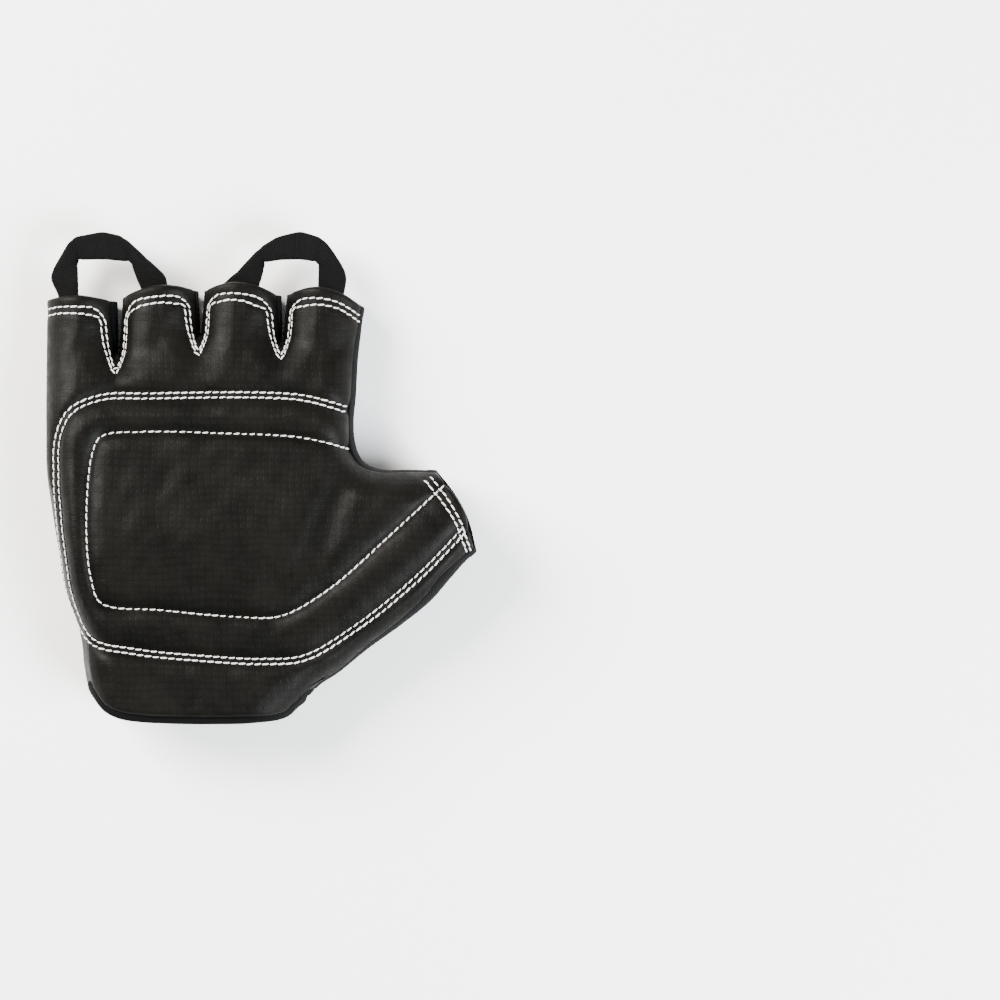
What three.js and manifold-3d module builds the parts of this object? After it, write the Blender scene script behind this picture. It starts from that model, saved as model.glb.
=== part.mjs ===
// A right-hand weightlifting glove with open fingers, lying palm up on its back.
// +Y runs from the wrist to the fingertips, +X to the thumb side, +Z out of the palm.
// Millimetres. The origin is under the middle of the glove's box, on the surface it lies on.
import * as THREE from "three";
import { mergeVertices } from "three/addons/utils/BufferGeometryUtils.js";
import Module from "manifold-3d";

const wasm = await Module();
wasm.setup();

// Driving dimensions of the hand shape.
const GLOVE_LENGTH = 159;
const PALM_WIDTH = 113;
const THUMB_REACH = 41.4;
const PALM_DEPTH = 30;
const CUFF_DEPTH = 25;
const FINGER_DEPTH = 19;
const THUMB_DEPTH = 24;
const THUMB_RISE = 4;
const EDGE_ROUND = 12;

// Thicknesses of the materials.
const LEATHER_WALL = 1.8;
const PAD_RISE = 2.2;
const PAD_SHOULDER = 7;
const KNIT_WALL = 1.4;
const MESH_WALL = 2.2;
const GUSSET_WALL = 1;
const SEAM_GAP = 0.3;
const STRAP_SEAT = 0.5;
const LOOP_SEAT = 0.8;

// Trim: cuff tape, wrist strap, keyhole and pull loops.
const CUFF_BAND = 3.4;
const CUFF_TAPE_THICKNESS = 2.4;
const STRAP_LENGTH = 71;
const STRAP_SLANT = 0.22;
const STRAP_WIDTH = 38;
const STRAP_THICKNESS = 1.6;
const STRAP_TIP_ROUND = 15;
const BINDING_WIDTH = 4.4;
const BINDING_THICKNESS = 2.6;
const PATCH_MARGIN = 1.6;
const PATCH_TIP_ROUND = 9;
const PATCH_LENGTH = 60;
const PATCH_WIDTH = 24.5;
const PATCH_THICKNESS = 1;
const SLIT_WIDTH = 1.6;
const TAPE_WIDTH = 8.8;
const TAPE_THICKNESS = 1.5;
const LOOP_RISE = 24;
const LOOP_TUCK = 7;
const LOOP_EASE = 8;

// Share of the depth that lies below the side seams.
const SEAM_SHARE = 0.42;
const PALM_FULLNESS = 2.2;
const BACK_FULLNESS = 2.8;

// Mesh fineness.
const FINGER_COLUMNS = 8;
const FINGER_ROWS = 4;
const CUFF_ROWS = 3;
const THUMB_ROOT_ROWS = 10;
const KNUCKLE_ROWS = 6;
const THUMB_COLUMNS = 6;
const EDGE_STEPS = 4;
const STRAP_COLUMNS = 14;
const STRAP_ROWS = 4;
const TIP_STEPS = 6;
const BINDING_STEPS = 6;
const LOOP_STEP = 5;
const FOOT_CROWDING = 1.4;
const TIP_CROWDING = 1.7;
const MAX_EDGE_SHARE = 0.4;

function table(columns, rows) {
  return rows.map((row) => Object.fromEntries(columns.map((name, i) => [name, row[i]])));
}

// Outlines in shares: across is of PALM_WIDTH, reach is of THUMB_REACH from the crotch,
// along is of GLOVE_LENGTH from the wrist.
const LITTLE_SIDE = table(["across", "along"], [
  [-0.358, 0.07], [-0.369, 0.1], [-0.377, 0.136], [-0.385, 0.19], [-0.41, 0.249],
  [-0.439, 0.308], [-0.459, 0.395], [-0.48, 0.49], [-0.4975, 0.576], [-0.5, 0.667],
  [-0.5, 0.769], [-0.5, 0.871], [-0.5, 0.961],
]);
const CUFF_TO_THUMB = table(["across", "along"], [[0.3455, 0.061], [0.378, 0.086], [0.436, 0.113]]);
const THUMB_LOWER = table(["reach", "along"], [
  [0.048, 0.168], [0.335, 0.222], [0.596, 0.277], [0.778, 0.331], [0.9, 0.367], [0.996, 0.39],
]);
const THUMB_HEM = table(["reach", "along"], [
  [0.996, 0.39], [0.909, 0.467], [0.796, 0.522], [0.639, 0.577],
]);
const THUMB_UPPER = table(["reach", "along"], [[0.639, 0.577], [0.4, 0.5785], [0.17, 0.579], [0.065, 0.588]]);
const INDEX_SIDE = table(["across", "along"], [
  [0.514, 0.601], [0.497, 0.624], [0.489, 0.653], [0.487, 0.689], [0.494, 0.746],
  [0.5, 0.83], [0.508, 0.882], [0.519, 0.946],
]);
const CUFF_EDGE = table(["across", "along"], [
  [-0.358, 0.07], [-0.312, 0.033], [-0.268, 0.0175], [-0.205, 0.009], [-0.1, 0.0045], [0.03, 0.003],
  [0.16, 0.0045], [0.262, 0.0095], [0.292, 0.0185], [0.313, 0.033], [0.337, 0.047], [0.3455, 0.061],
]);
const BACK_CUFF_RISE = 0.018;

// Slots between the fingers. Their mouths open by gap, and the leather stands back from the
// finger's side by near and far, all in millimetres; drop is how far its notch runs below.
const SLOTS = table(["across", "along", "mouth", "gap", "near", "far", "drop"], [
  [-0.27, 0.844, -0.266, 2, 2.6, 1.4, 4],
  [-0.007, 0.887, -0.005, 2.2, 1.3, 1.3, 4],
  [0.256, 0.875, 0.261, 2, 1.9, 1.4, 3.7],
]);
const SLOT_FOOT = 0.35;
const SLOT_FLARE = 1.3;
const NOTCH_FLARE = 0.7;
const FOOT_GAP = 1.6;
const GUSSET_GAP = 0.5;
const FINGER_TIPS = table(["left", "crown", "right"], [
  [0.96, 0.965, 0.9585], [0.968, 0.988, 0.983], [0.983, 0.995, 0.9725], [0.974, 0.982, 0.946],
]);
const FINGER_ROOT_ALONG = 0.844;

// Width of the knit that shows beyond the leather, in millimetres, by share of each side's length.
const KNIT_SHOW_UPPER = table(["at", "show"], [[0, 0.9], [0.35, 1.5], [0.5, 1.5], [0.75, 2], [1, 1]]);
const KNIT_SHOW_LOWER = table(["at", "show"], [[0, 1], [0.25, 1.2], [0.55, 2.2], [0.8, 4], [1, 1.8]]);

// Quilting seams of the palm: the outer double row and the inner single row.
const OUTER_QUILT = [
  ...table(["across", "along"], [
    [0.468, 0.713], [0.334, 0.738], [0.2, 0.745], [-0.165, 0.743], [-0.308, 0.74], [-0.404, 0.711],
    [-0.449, 0.657], [-0.457, 0.542], [-0.438, 0.385], [-0.404, 0.263], [-0.347, 0.192], [-0.212, 0.168],
    [0.027, 0.151], [0.2, 0.145], [0.334, 0.153], [0.506, 0.224],
  ]),
  ...table(["reach", "along"], [[0.502, 0.335], [0.895, 0.44]]),
];
const INNER_QUILT = [
  ...table(["across", "along"], [
    [0.481, 0.625], [0.315, 0.65], [0.075, 0.659], [-0.184, 0.662], [-0.308, 0.652], [-0.337, 0.613],
    [-0.353, 0.454], [-0.338, 0.33], [-0.308, 0.277], [-0.117, 0.261], [0.123, 0.246], [0.26, 0.248],
    [0.411, 0.307],
  ]),
  ...table(["reach", "along"], [[0.24, 0.426], [0.72, 0.542]]),
];
const QUILT_ROW_HALF = 1;

// Where the trim lies on the back.
const STRAP_TIP = { across: 0.308, along: 0.127 };
const STRAP_RISE = 0.041;
const SLIT = table(["across", "along"], [[-0.362, 0.32], [-0.29, 0.288], [-0.252, 0.19], [-0.2407, -0.05]]);

// Pull loops, as cross-sections of the tape at its folds. Across and up give its inner edge, as
// shares of PALM_WIDTH and of LOOP_RISE above the hems. Lean is the direction from there to its
// outer edge, in degrees, and spread is the width there as a share of TAPE_WIDTH.
const LOOP_BASE_ALONG = 0.965;
const LOOP_LEVEL = 0.6;
const LOOPS = [
  {
    name: "pull_loop_outer",
    folds: table(["across", "up", "lean", "spread"], [
      [-0.396, 0, 180, 1.04], [-0.402, 0.53, 200, 1.04], [-0.396, 0.615, 107, 0.84],
      [-0.312, 0.622, 95, 1.03], [-0.232, 0.588, 107, 0.97], [-0.222, 0.55, 10, 0.6],
      [-0.203, 0.3, 6, 1.08], [-0.194, 0.14, 0, 1.06], [-0.19, 0, 0, 1],
    ]),
  },
  {
    name: "pull_loop_inner",
    folds: table(["across", "up", "lean", "spread"], [
      [0.178, 0, 180, 2.1], [0.183, 0.14, 180, 1.97], [0.181, 0.22, 180, 1.4], [0.196, 0.48, 192, 1.05],
      [0.1965, 0.575, 104, 0.52], [0.25, 0.615, 97, 0.84], [0.314, 0.622, 90, 1.04], [0.364, 0.585, 72, 0.9],
      [0.378, 0.53, 18, 0.72], [0.378, 0.38, 0, 1.02], [0.3725, 0, 0, 1.14],
    ]),
  },
];

const COLOURS = {
  leather: { color: 0x1c1b18, roughness: 0.5, metalness: 0 },
  knit: { color: 0x17171a, roughness: 0.95, metalness: 0 },
  mesh: { color: 0x2a2a2b, roughness: 0.9, metalness: 0 },
  gusset: { color: 0x141415, roughness: 0.8, metalness: 0 },
  tape: { color: 0x161617, roughness: 0.7, metalness: 0 },
  patch: { color: 0x353535, roughness: 0.45, metalness: 0 },
};

const smooth = (t) => THREE.MathUtils.smoothstep(t, 0, 1);
const mix = THREE.MathUtils.lerp;

function lookUp(rows, key, value, at) {
  const last = rows.length - 1;
  if (at <= rows[0][key]) return rows[0][value];
  for (let i = 0; i < last; i += 1) {
    const [a, b] = [rows[i], rows[i + 1]];
    if (at <= b[key]) return mix(a[value], b[value], (at - a[key]) / (b[key] - a[key]));
  }
  return rows[last][value];
}

const CROTCH_X = INDEX_SIDE[0].across * PALM_WIDTH;

function planPoint(row) {
  const x = row.reach === undefined ? row.across * PALM_WIDTH : CROTCH_X + row.reach * THUMB_REACH;
  return new THREE.Vector3(x, row.along * GLOVE_LENGTH, 0);
}

function smoothLine(points, steps) {
  return new THREE.CatmullRomCurve3(points, false, "centripetal").getSpacedPoints(steps);
}

// A line in the plan whose left side, seen along its travel, is the inside of the glove.
class Edge {
  constructor(points) {
    this.points = points;
    this.lengths = [0];
    for (let i = 1; i < points.length; i += 1) {
      this.lengths.push(this.lengths[i - 1] + points[i].distanceTo(points[i - 1]));
    }
    this.total = this.lengths[points.length - 1];
    this.normals = points.map((_, i) => {
      const a = points[Math.max(i - 1, 0)];
      const b = points[Math.min(i + 1, points.length - 1)];
      const along = b.clone().sub(a).normalize();
      return new THREE.Vector3(-along.y, along.x, 0);
    });
  }

  at(share) {
    const goal = THREE.MathUtils.clamp(share, 0, 1) * this.total;
    let i = 0;
    while (i < this.points.length - 2 && this.lengths[i + 1] < goal) i += 1;
    const t = (goal - this.lengths[i]) / (this.lengths[i + 1] - this.lengths[i]);
    return {
      point: this.points[i].clone().lerp(this.points[i + 1], t),
      inward: this.normals[i].clone().lerp(this.normals[i + 1], t).normalize(),
    };
  }

  shareOfHeight(y) {
    for (let i = 0; i < this.points.length - 1; i += 1) {
      const [a, b] = [this.points[i], this.points[i + 1]];
      if ((a.y - y) * (b.y - y) <= 0 && a.y !== b.y) {
        const t = (y - a.y) / (b.y - a.y);
        return mix(this.lengths[i], this.lengths[i + 1], t) / this.total;
      }
    }
    return Math.abs(this.points[0].y - y) < Math.abs(this.points.at(-1).y - y) ? 0 : 1;
  }

  // Nearest point, with both end stretches prolonged, so that open ends don't count as sides.
  nearest(x, y) {
    let best = { distance: Infinity };
    const last = this.points.length - 2;
    for (let i = 0; i <= last; i += 1) {
      const [a, b] = [this.points[i], this.points[i + 1]];
      const [dx, dy] = [b.x - a.x, b.y - a.y];
      let t = ((x - a.x) * dx + (y - a.y) * dy) / (dx * dx + dy * dy);
      t = THREE.MathUtils.clamp(t, i === 0 ? -Infinity : 0, i === last ? Infinity : 1);
      const [px, py] = [a.x + dx * t, a.y + dy * t];
      const distance = Math.hypot(x - px, y - py);
      if (distance < best.distance) {
        const inward = this.normals[i].clone().lerp(this.normals[i + 1], THREE.MathUtils.clamp(t, 0, 1));
        best = { distance, x: px, y: py, inward: inward.normalize() };
      }
    }
    return best;
  }
}

const littleSide = new Edge(smoothLine(LITTLE_SIDE.map(planPoint), 60).reverse());
const lowerSide = new Edge(smoothLine([...CUFF_TO_THUMB, ...THUMB_LOWER].map(planPoint), 50));
const upperSide = new Edge(smoothLine([...THUMB_UPPER, ...INDEX_SIDE].map(planPoint), 70));
const thumbHem = new Edge(smoothLine(THUMB_HEM.map(planPoint), 24));
const cuffLine = new Edge(smoothLine(CUFF_EDGE.map(planPoint), 64));
const thumbRootShare = lowerSide.shareOfHeight(CUFF_TO_THUMB.at(-1).along * GLOVE_LENGTH);
const crotchShare = upperSide.shareOfHeight(INDEX_SIDE[0].along * GLOVE_LENGTH);

// The side of a finger along a slot. t runs from the foot of the slot to the fingertip,
// hand is -1 for the finger on the little side and 1 for the one on the index side.
function slotSide(slot, hand, t) {
  const tip = FINGER_TIPS[slot + (hand > 0 ? 1 : 0)][hand > 0 ? "left" : "right"];
  const row = SLOTS[slot];
  const x = mix(row.across, row.mouth, t) * PALM_WIDTH;
  const half = mix(SLOT_FOOT, row.gap / 2, t ** SLOT_FLARE);
  return new THREE.Vector3(x + hand * half, mix(row.along, tip, t) * GLOVE_LENGTH, 0);
}

// The sewn edge of the leather and of the back panels along the same slot.
function notchSide(slot, hand, t) {
  const row = SLOTS[slot];
  const side = slotSide(slot, hand, t);
  const centre = mix(row.across, row.mouth, t) * PALM_WIDTH;
  const width = row.gap / 2 + (hand > 0 ? row.far : row.near);
  const x = centre + hand * width * t ** NOTCH_FLARE;
  return new THREE.Vector3(x, side.y - row.drop * (1 - t), 0);
}

const SLOT_SHARES = [1, 0.75, 0.5, 0.25, 0.1];
const slotEdges = SLOTS.map((_, slot) => new Edge([
  ...SLOT_SHARES.map((t) => slotSide(slot, 1, t)),
  new THREE.Vector3(SLOTS[slot].across * PALM_WIDTH, SLOTS[slot].along * GLOVE_LENGTH - SLOT_FOOT, 0),
  ...SLOT_SHARES.toReversed().map((t) => slotSide(slot, -1, t)),
]));
const sideEdges = [littleSide, lowerSide, upperSide, ...slotEdges];

function nearestSide(x, y) {
  let best = { distance: Infinity };
  for (const edge of sideEdges) {
    const found = edge.nearest(x, y);
    if (found.distance < best.distance) best = found;
  }
  return best;
}

// Thickness of the glove and its height over the surface it lies on.
const DEPTHS = table(["along", "depth"], [
  [0, CUFF_DEPTH], [0.1, CUFF_DEPTH], [0.45, PALM_DEPTH], [0.68, PALM_DEPTH * 0.95],
  [0.86, FINGER_DEPTH * 1.08], [1, FINGER_DEPTH],
]);
const STRAP_STACK = STRAP_SEAT + STRAP_THICKNESS + SEAM_GAP + PATCH_THICKNESS;
const LIFT_START = 0.36;
const LIFT_END = 0.64;

function thumbShare(x, y) {
  if (y > INDEX_SIDE[1].along * GLOVE_LENGTH) return 0;
  return smooth((x - CROTCH_X) / THUMB_REACH);
}

function depthAt(x, y) {
  const along = y / GLOVE_LENGTH;
  return mix(lookUp(DEPTHS, "along", "depth", along), THUMB_DEPTH, thumbShare(x, y));
}

function liftAt(x, y) {
  const away = 1 - smooth((y / GLOVE_LENGTH - LIFT_START) / (LIFT_END - LIFT_START));
  return STRAP_STACK * away + THUMB_RISE * thumbShare(x, y);
}

const seamHeight = (x, y) => liftAt(x, y) + depthAt(x, y) * SEAM_SHARE;

// A point at a depth below the glove's outer skin. A place in the plan names its side:
// 1 for the palm, -1 for the back, 0 for the side seam.
function skin(place, depth) {
  const near = place.inward ? place : nearestSide(place.x, place.y);
  const distance = near.distance;
  const seam = seamHeight(place.x, place.y);
  const half = depthAt(place.x, place.y) * (place.side > 0 ? 1 - SEAM_SHARE : SEAM_SHARE);
  const power = place.side > 0 ? PALM_FULLNESS : BACK_FULLNESS;
  const away = 1 - Math.min(distance / EDGE_ROUND, 1);
  const rise = place.side === 0 ? 0 : (1 - away ** power) ** (1 / power);
  const inward = distance > 0.01 && !place.inward
    ? new THREE.Vector3(place.x - near.x, place.y - near.y, 0).normalize()
    : near.inward;
  const outX = place.side === 0 ? 1 : away ** (power - 1) / EDGE_ROUND;
  const outZ = rise ** (power - 1) / half;
  const scale = depth / Math.hypot(outX, outZ);
  const step = Math.sign(place.side) * (SEAM_GAP / 2 + half * rise - outZ * scale);
  return new THREE.Vector3(
    place.x + inward.x * outX * scale,
    place.y + inward.y * outX * scale,
    seam + step,
  );
}

// Closed solid between two skins over quads that share their places.
function sheetGeometry(quads, outer, inner) {
  const places = [...new Set(quads.flat())];
  const index = new Map(places.map((place, i) => [place, i]));
  const count = places.length;
  const positions = [...places.map(outer), ...places.map(inner)].flatMap((p) => [p.x, p.y, p.z]);
  const faces = [];
  const open = new Map();
  for (const quad of quads) {
    const [a, b, c, d] = quad.map((place) => index.get(place));
    faces.push(a, b, c, a, c, d, count + a, count + c, count + b, count + a, count + d, count + c);
    for (const [from, to] of [[a, b], [b, c], [c, d], [d, a]]) {
      if (!open.delete(`${to},${from}`)) open.set(`${from},${to}`, [from, to]);
    }
  }
  for (const [from, to] of open.values()) {
    faces.push(from, count + from, count + to, from, count + to, to);
  }
  const geometry = new THREE.BufferGeometry();
  geometry.setAttribute("position", new THREE.Float32BufferAttribute(positions, 3));
  geometry.setIndex(faces);
  return geometry;
}

// Quads of a grid of places, given as rows; flip turns them over.
function gridQuads(rows, flip = false) {
  const quads = [];
  for (let j = 0; j < rows.length - 1; j += 1) {
    for (let k = 0; k < rows[j].length - 1; k += 1) {
      const quad = [rows[j][k], rows[j][k + 1], rows[j + 1][k + 1], rows[j + 1][k]];
      quads.push(flip ? quad.reverse() : quad);
    }
  }
  return quads;
}

// Grid between four border lines of places, which it keeps and shares with its neighbours.
function coons(bottom, top, left, right, side) {
  const rows = left.length - 1;
  const columns = bottom.length - 1;
  const share = (line, i) => {
    const lengths = [0];
    for (let n = 1; n < line.length; n += 1) {
      lengths.push(lengths[n - 1] + Math.hypot(line[n].x - line[n - 1].x, line[n].y - line[n - 1].y));
    }
    return lengths[i] / lengths.at(-1);
  };
  const grid = [];
  for (let j = 0; j <= rows; j += 1) {
    const line = [];
    for (let k = 0; k <= columns; k += 1) {
      if (j === 0) line.push(bottom[k]);
      else if (j === rows) line.push(top[k]);
      else if (k === 0) line.push(left[j]);
      else if (k === columns) line.push(right[j]);
      else {
        const v0 = mix(share(left, j), share(right, j), k / columns);
        const u = mix(share(bottom, k), share(top, k), v0);
        const v = mix(share(left, j), share(right, j), u);
        const blend = (axis) => (1 - v) * bottom[k][axis] + v * top[k][axis]
          + (1 - u) * left[j][axis] + u * right[j][axis]
          - (1 - u) * (1 - v) * bottom[0][axis] - u * (1 - v) * bottom[columns][axis]
          - u * v * top[columns][axis] - (1 - u) * v * top[0][axis];
        line.push({ x: blend("x"), y: blend("y"), side });
      }
    }
    grid.push(line);
  }
  return grid;
}

// Shares along a line of the given length that crowd towards both ends.
function crowded(steps, length) {
  const end = Math.min(EDGE_ROUND / length, MAX_EDGE_SHARE);
  const shares = [];
  for (let i = 0; i <= steps; i += 1) {
    const fromEnd = Math.min(i, steps - i);
    const share = fromEnd < EDGE_STEPS
      ? end * (1 - Math.cos((fromEnd / EDGE_STEPS) * (Math.PI / 2)))
      : end + ((fromEnd - EDGE_STEPS) / (steps / 2 - EDGE_STEPS)) * (0.5 - end);
    shares.push(i <= steps / 2 ? share : 1 - share);
  }
  return shares;
}

const cosineShares = (steps) => Array.from(
  { length: steps + 1 },
  (_, i) => (1 - Math.cos((Math.PI * i) / steps)) / 2,
);

// Rows across a finger, closer together at the foot of the slots.
const fingerShare = (j) => (j / FINGER_ROWS) ** FOOT_CROWDING;

function place(point, side, extra = {}) {
  return { x: point.x, y: point.y, side, ...extra };
}

// Places on a side of the glove, stood back from it.
function onEdge(edge, share, standBack, side) {
  const { point, inward } = edge.at(share);
  return place(point.addScaledVector(inward, standBack), side);
}

const lowerShow = (share) => lookUp(KNIT_SHOW_LOWER, "at", "show", share);
const upperShow = (share) => lookUp(KNIT_SHOW_UPPER, "at", "show", share);

// The edge of the shells at the wrist, a band above the mouth of the cuff.
function cuffPlace(share, side, band) {
  const { point, inward } = cuffLine.at(share);
  const rise = side < 0 ? BACK_CUFF_RISE * GLOVE_LENGTH * Math.sin(Math.PI * share) : 0;
  return place(point.addScaledVector(inward, band).setY(point.y + rise), side);
}

const cuffShares = crowded(FINGER_COLUMNS * 4, cuffLine.total);

// All the places of one face of the glove: the palm block, four fingers and the thumb.
// showKnit stands the index and thumb sides back by the width of knit that shows.
function faceBlocks(side, showKnit) {
  const back = (share, show) => (showKnit ? show(share) + SEAM_GAP : 0);
  const low = (share) => onEdge(lowerSide, share, back(share, lowerShow), side);
  const up = (share) => onEdge(upperSide, share, back(share, upperShow), side);
  const band = CUFF_BAND + SEAM_GAP;
  const cuffStart = band / lowerSide.total;
  const right = [];
  for (let j = 0; j < CUFF_ROWS; j += 1) right.push(low(mix(cuffStart, thumbRootShare, j / CUFF_ROWS)));
  const root = low(thumbRootShare);
  const crotch = up(crotchShare);
  for (const t of cosineShares(THUMB_ROOT_ROWS)) {
    if (t === 0) right.push(root);
    else if (t === 1) right.push(crotch);
    else right.push(place(new THREE.Vector3(mix(root.x, crotch.x, t), mix(root.y, crotch.y, t), 0), side));
  }
  const kneeShare = upperSide.shareOfHeight(FINGER_ROOT_ALONG * GLOVE_LENGTH);
  for (let j = 1; j <= KNUCKLE_ROWS; j += 1) right.push(up(mix(crotchShare, kneeShare, j / KNUCKLE_ROWS)));

  const littleStart = littleSide.at(1 - band / littleSide.total).point;
  const rootHeight = FINGER_ROOT_ALONG * GLOVE_LENGTH;
  const left = right.map((spot) => {
    const t = (spot.y - right[0].y) / (right.at(-1).y - right[0].y);
    const y = mix(littleStart.y, rootHeight, t);
    return onEdge(littleSide, littleSide.shareOfHeight(y), 0, side);
  });
  const bottom = cuffShares.map((share) => cuffPlace(share, side, band));
  bottom[0] = left[0];
  bottom[bottom.length - 1] = right[0];

  const corners = [left.at(-1), ...SLOTS.map((_, slot) => place(notchSide(slot, 1, 0), side)), right.at(-1)];
  const top = [corners[0]];
  const fingerShares = cosineShares(FINGER_COLUMNS);
  for (let finger = 0; finger < 4; finger += 1) {
    const [a, b] = [corners[finger], corners[finger + 1]];
    for (let k = 1; k < FINGER_COLUMNS; k += 1) {
      top.push(place({ x: mix(a.x, b.x, fingerShares[k]), y: mix(a.y, b.y, fingerShares[k]) }, side));
    }
    top.push(b);
  }
  const palm = coons(bottom, top, left, right, side);

  const fingers = FINGER_TIPS.map((tip, finger) => {
    const foot = top.slice(finger * FINGER_COLUMNS, (finger + 1) * FINGER_COLUMNS + 1);
    const leftLine = [foot[0]];
    const rightLine = [foot.at(-1)];
    for (let j = 1; j <= FINGER_ROWS; j += 1) {
      const t = fingerShare(j);
      const levelL = mix(rootHeight, tip.left * GLOVE_LENGTH, t);
      const levelR = mix(rootHeight, tip.right * GLOVE_LENGTH, t);
      leftLine.push(finger === 0
        ? onEdge(littleSide, littleSide.shareOfHeight(levelL), 0, side)
        : place(notchSide(finger - 1, 1, t), side));
      rightLine.push(finger === 3
        ? up(upperSide.shareOfHeight(levelR))
        : place(notchSide(finger, -1, t), side));
    }
    const [a, b] = [leftLine.at(-1), rightLine.at(-1)];
    const bulge = (tip.crown - (tip.left + tip.right) / 2) * GLOVE_LENGTH;
    const head = fingerShares.map((u, k) => {
      if (k === 0) return a;
      if (k === FINGER_COLUMNS) return b;
      return place({ x: mix(a.x, b.x, u), y: mix(a.y, b.y, u) + bulge * 4 * u * (1 - u) }, side);
    });
    return coons(foot, head, leftLine, rightLine, side);
  });

  const rootLine = right.slice(CUFF_ROWS, CUFF_ROWS + THUMB_ROOT_ROWS + 1);
  const lowLine = [root];
  const upLine = [crotch];
  for (let k = 1; k <= THUMB_COLUMNS; k += 1) {
    lowLine.push(low(mix(thumbRootShare, 1, k / THUMB_COLUMNS)));
    upLine.push(up(mix(crotchShare, 0, k / THUMB_COLUMNS)));
  }
  const hemShares = cosineShares(THUMB_ROOT_ROWS);
  const [hemA, hemB] = [lowLine.at(-1), upLine.at(-1)];
  const [edgeA, edgeB] = [thumbHem.at(0).point, thumbHem.at(1).point];
  const hem = hemShares.map((u, j) => {
    if (j === 0) return hemA;
    if (j === THUMB_ROOT_ROWS) return hemB;
    const { point } = thumbHem.at(u);
    return place({
      x: point.x + mix(hemA.x - edgeA.x, hemB.x - edgeB.x, u),
      y: point.y + mix(hemA.y - edgeA.y, hemB.y - edgeB.y, u),
    }, side);
  });
  const thumb = coons(lowLine, upLine, rootLine, hem, side);
  return { palm, fingers, thumb, right, lowLine, upLine };
}

function outlineDistance(points, x, y) {
  let best = Infinity;
  for (let i = 0; i < points.length - 1; i += 1) {
    const [a, b] = [points[i], points[i + 1]];
    const [dx, dy] = [b.x - a.x, b.y - a.y];
    const t = THREE.MathUtils.clamp(((x - a.x) * dx + (y - a.y) * dy) / (dx * dx + dy * dy), 0, 1);
    best = Math.min(best, Math.hypot(x - a.x - dx * t, y - a.y - dy * t));
  }
  return best;
}

const outerQuilt = smoothLine(OUTER_QUILT.map(planPoint), 60);
const innerQuilt = smoothLine(INNER_QUILT.map(planPoint), 50);

// Height of the padding over the plain skin: it sinks to nothing along the quilting seams.
function padRise(x, y) {
  const outer = outlineDistance(outerQuilt, x, y) - QUILT_ROW_HALF;
  const inner = outlineDistance(innerQuilt, x, y);
  const away = 1 - Math.min(Math.max(Math.min(outer, inner), 0) / PAD_SHOULDER, 1);
  const side = Math.min(nearestSide(x, y).distance / EDGE_ROUND, 1);
  return PAD_RISE * (1 - away * away) * side;
}

function named(name, finish, geometry) {
  geometry.computeVertexNormals();
  const mesh = new THREE.Mesh(geometry, new THREE.MeshStandardMaterial(COLOURS[finish]));
  mesh.name = name;
  return mesh;
}

function palmLeather() {
  const face = faceBlocks(1, true);
  const quads = [face.palm, ...face.fingers, face.thumb].flatMap((grid) => gridQuads(grid));
  const outer = (spot) => {
    const point = skin(spot, 0);
    point.z += padRise(spot.x, spot.y);
    return point;
  };
  return named("palm_leather", "leather", sheetGeometry(quads, outer, (spot) => skin(spot, LEATHER_WALL)));
}

// The back is cut in two along a seam that runs down from the slot beside the index finger.
function backPanels() {
  const face = faceBlocks(-1, false);
  const seamColumn = 3 * FINGER_COLUMNS;
  const shifted = (spot, step) => ({ ...spot, x: spot.x + step });
  const half = SEAM_GAP / 2;
  const meshSide = face.palm.map((row) => [...row.slice(0, seamColumn), shifted(row[seamColumn], -half)]);
  const knitSide = face.palm.map((row) => [shifted(row[seamColumn], half), ...row.slice(seamColumn + 1)]);
  const middle = face.fingers[2];
  const index = face.fingers[3];
  middle[0] = [...middle[0].slice(0, -1), meshSide.at(-1).at(-1)];
  index[0] = [knitSide.at(-1)[0], ...index[0].slice(1)];

  const meshQuads = [meshSide, face.fingers[0], face.fingers[1], middle].flatMap((grid) => gridQuads(grid, true));
  const mesh = sheetGeometry(meshQuads, (spot) => skin(spot, 0), (spot) => skin(spot, MESH_WALL));

  const wrap = (spot, show) => {
    const { inward } = nearestSide(spot.x, spot.y);
    const step = (share) => place(inward.clone().multiplyScalar(show * share).add(spot), 1);
    return [spot, step(0.5), step(1)];
  };
  const lowerPath = [...face.right.slice(0, CUFF_ROWS), ...face.lowLine];
  const upperPath = [...face.upLine.toReversed(), ...face.right.slice(CUFF_ROWS + THUMB_ROOT_ROWS + 1),
    ...index.slice(1).map((row) => row.at(-1))];
  const stripRows = (path, edge, show) => path.map((spot) => wrap(spot, show(nearestShare(edge, spot))));
  const lowerStrip = stripRows(lowerPath, lowerSide, lowerShow);
  const upperStrip = stripRows(upperPath, upperSide, upperShow);
  const knitQuads = [
    ...[knitSide, index, face.thumb].flatMap((grid) => gridQuads(grid, true)),
    ...gridQuads(lowerStrip, true),
    ...gridQuads(upperStrip, true),
  ];
  const knit = sheetGeometry(knitQuads, (spot) => skin(spot, 0), (spot) => skin(spot, KNIT_WALL));
  return [mesh, named("back_knit", "knit", knit)];
}

function nearestShare(edge, spot) {
  let best = { distance: Infinity, share: 0 };
  edge.points.forEach((point, i) => {
    const distance = Math.hypot(point.x - spot.x, point.y - spot.y);
    if (distance < best.distance) best = { distance, share: edge.lengths[i] / edge.total };
  });
  return best.share;
}

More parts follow.
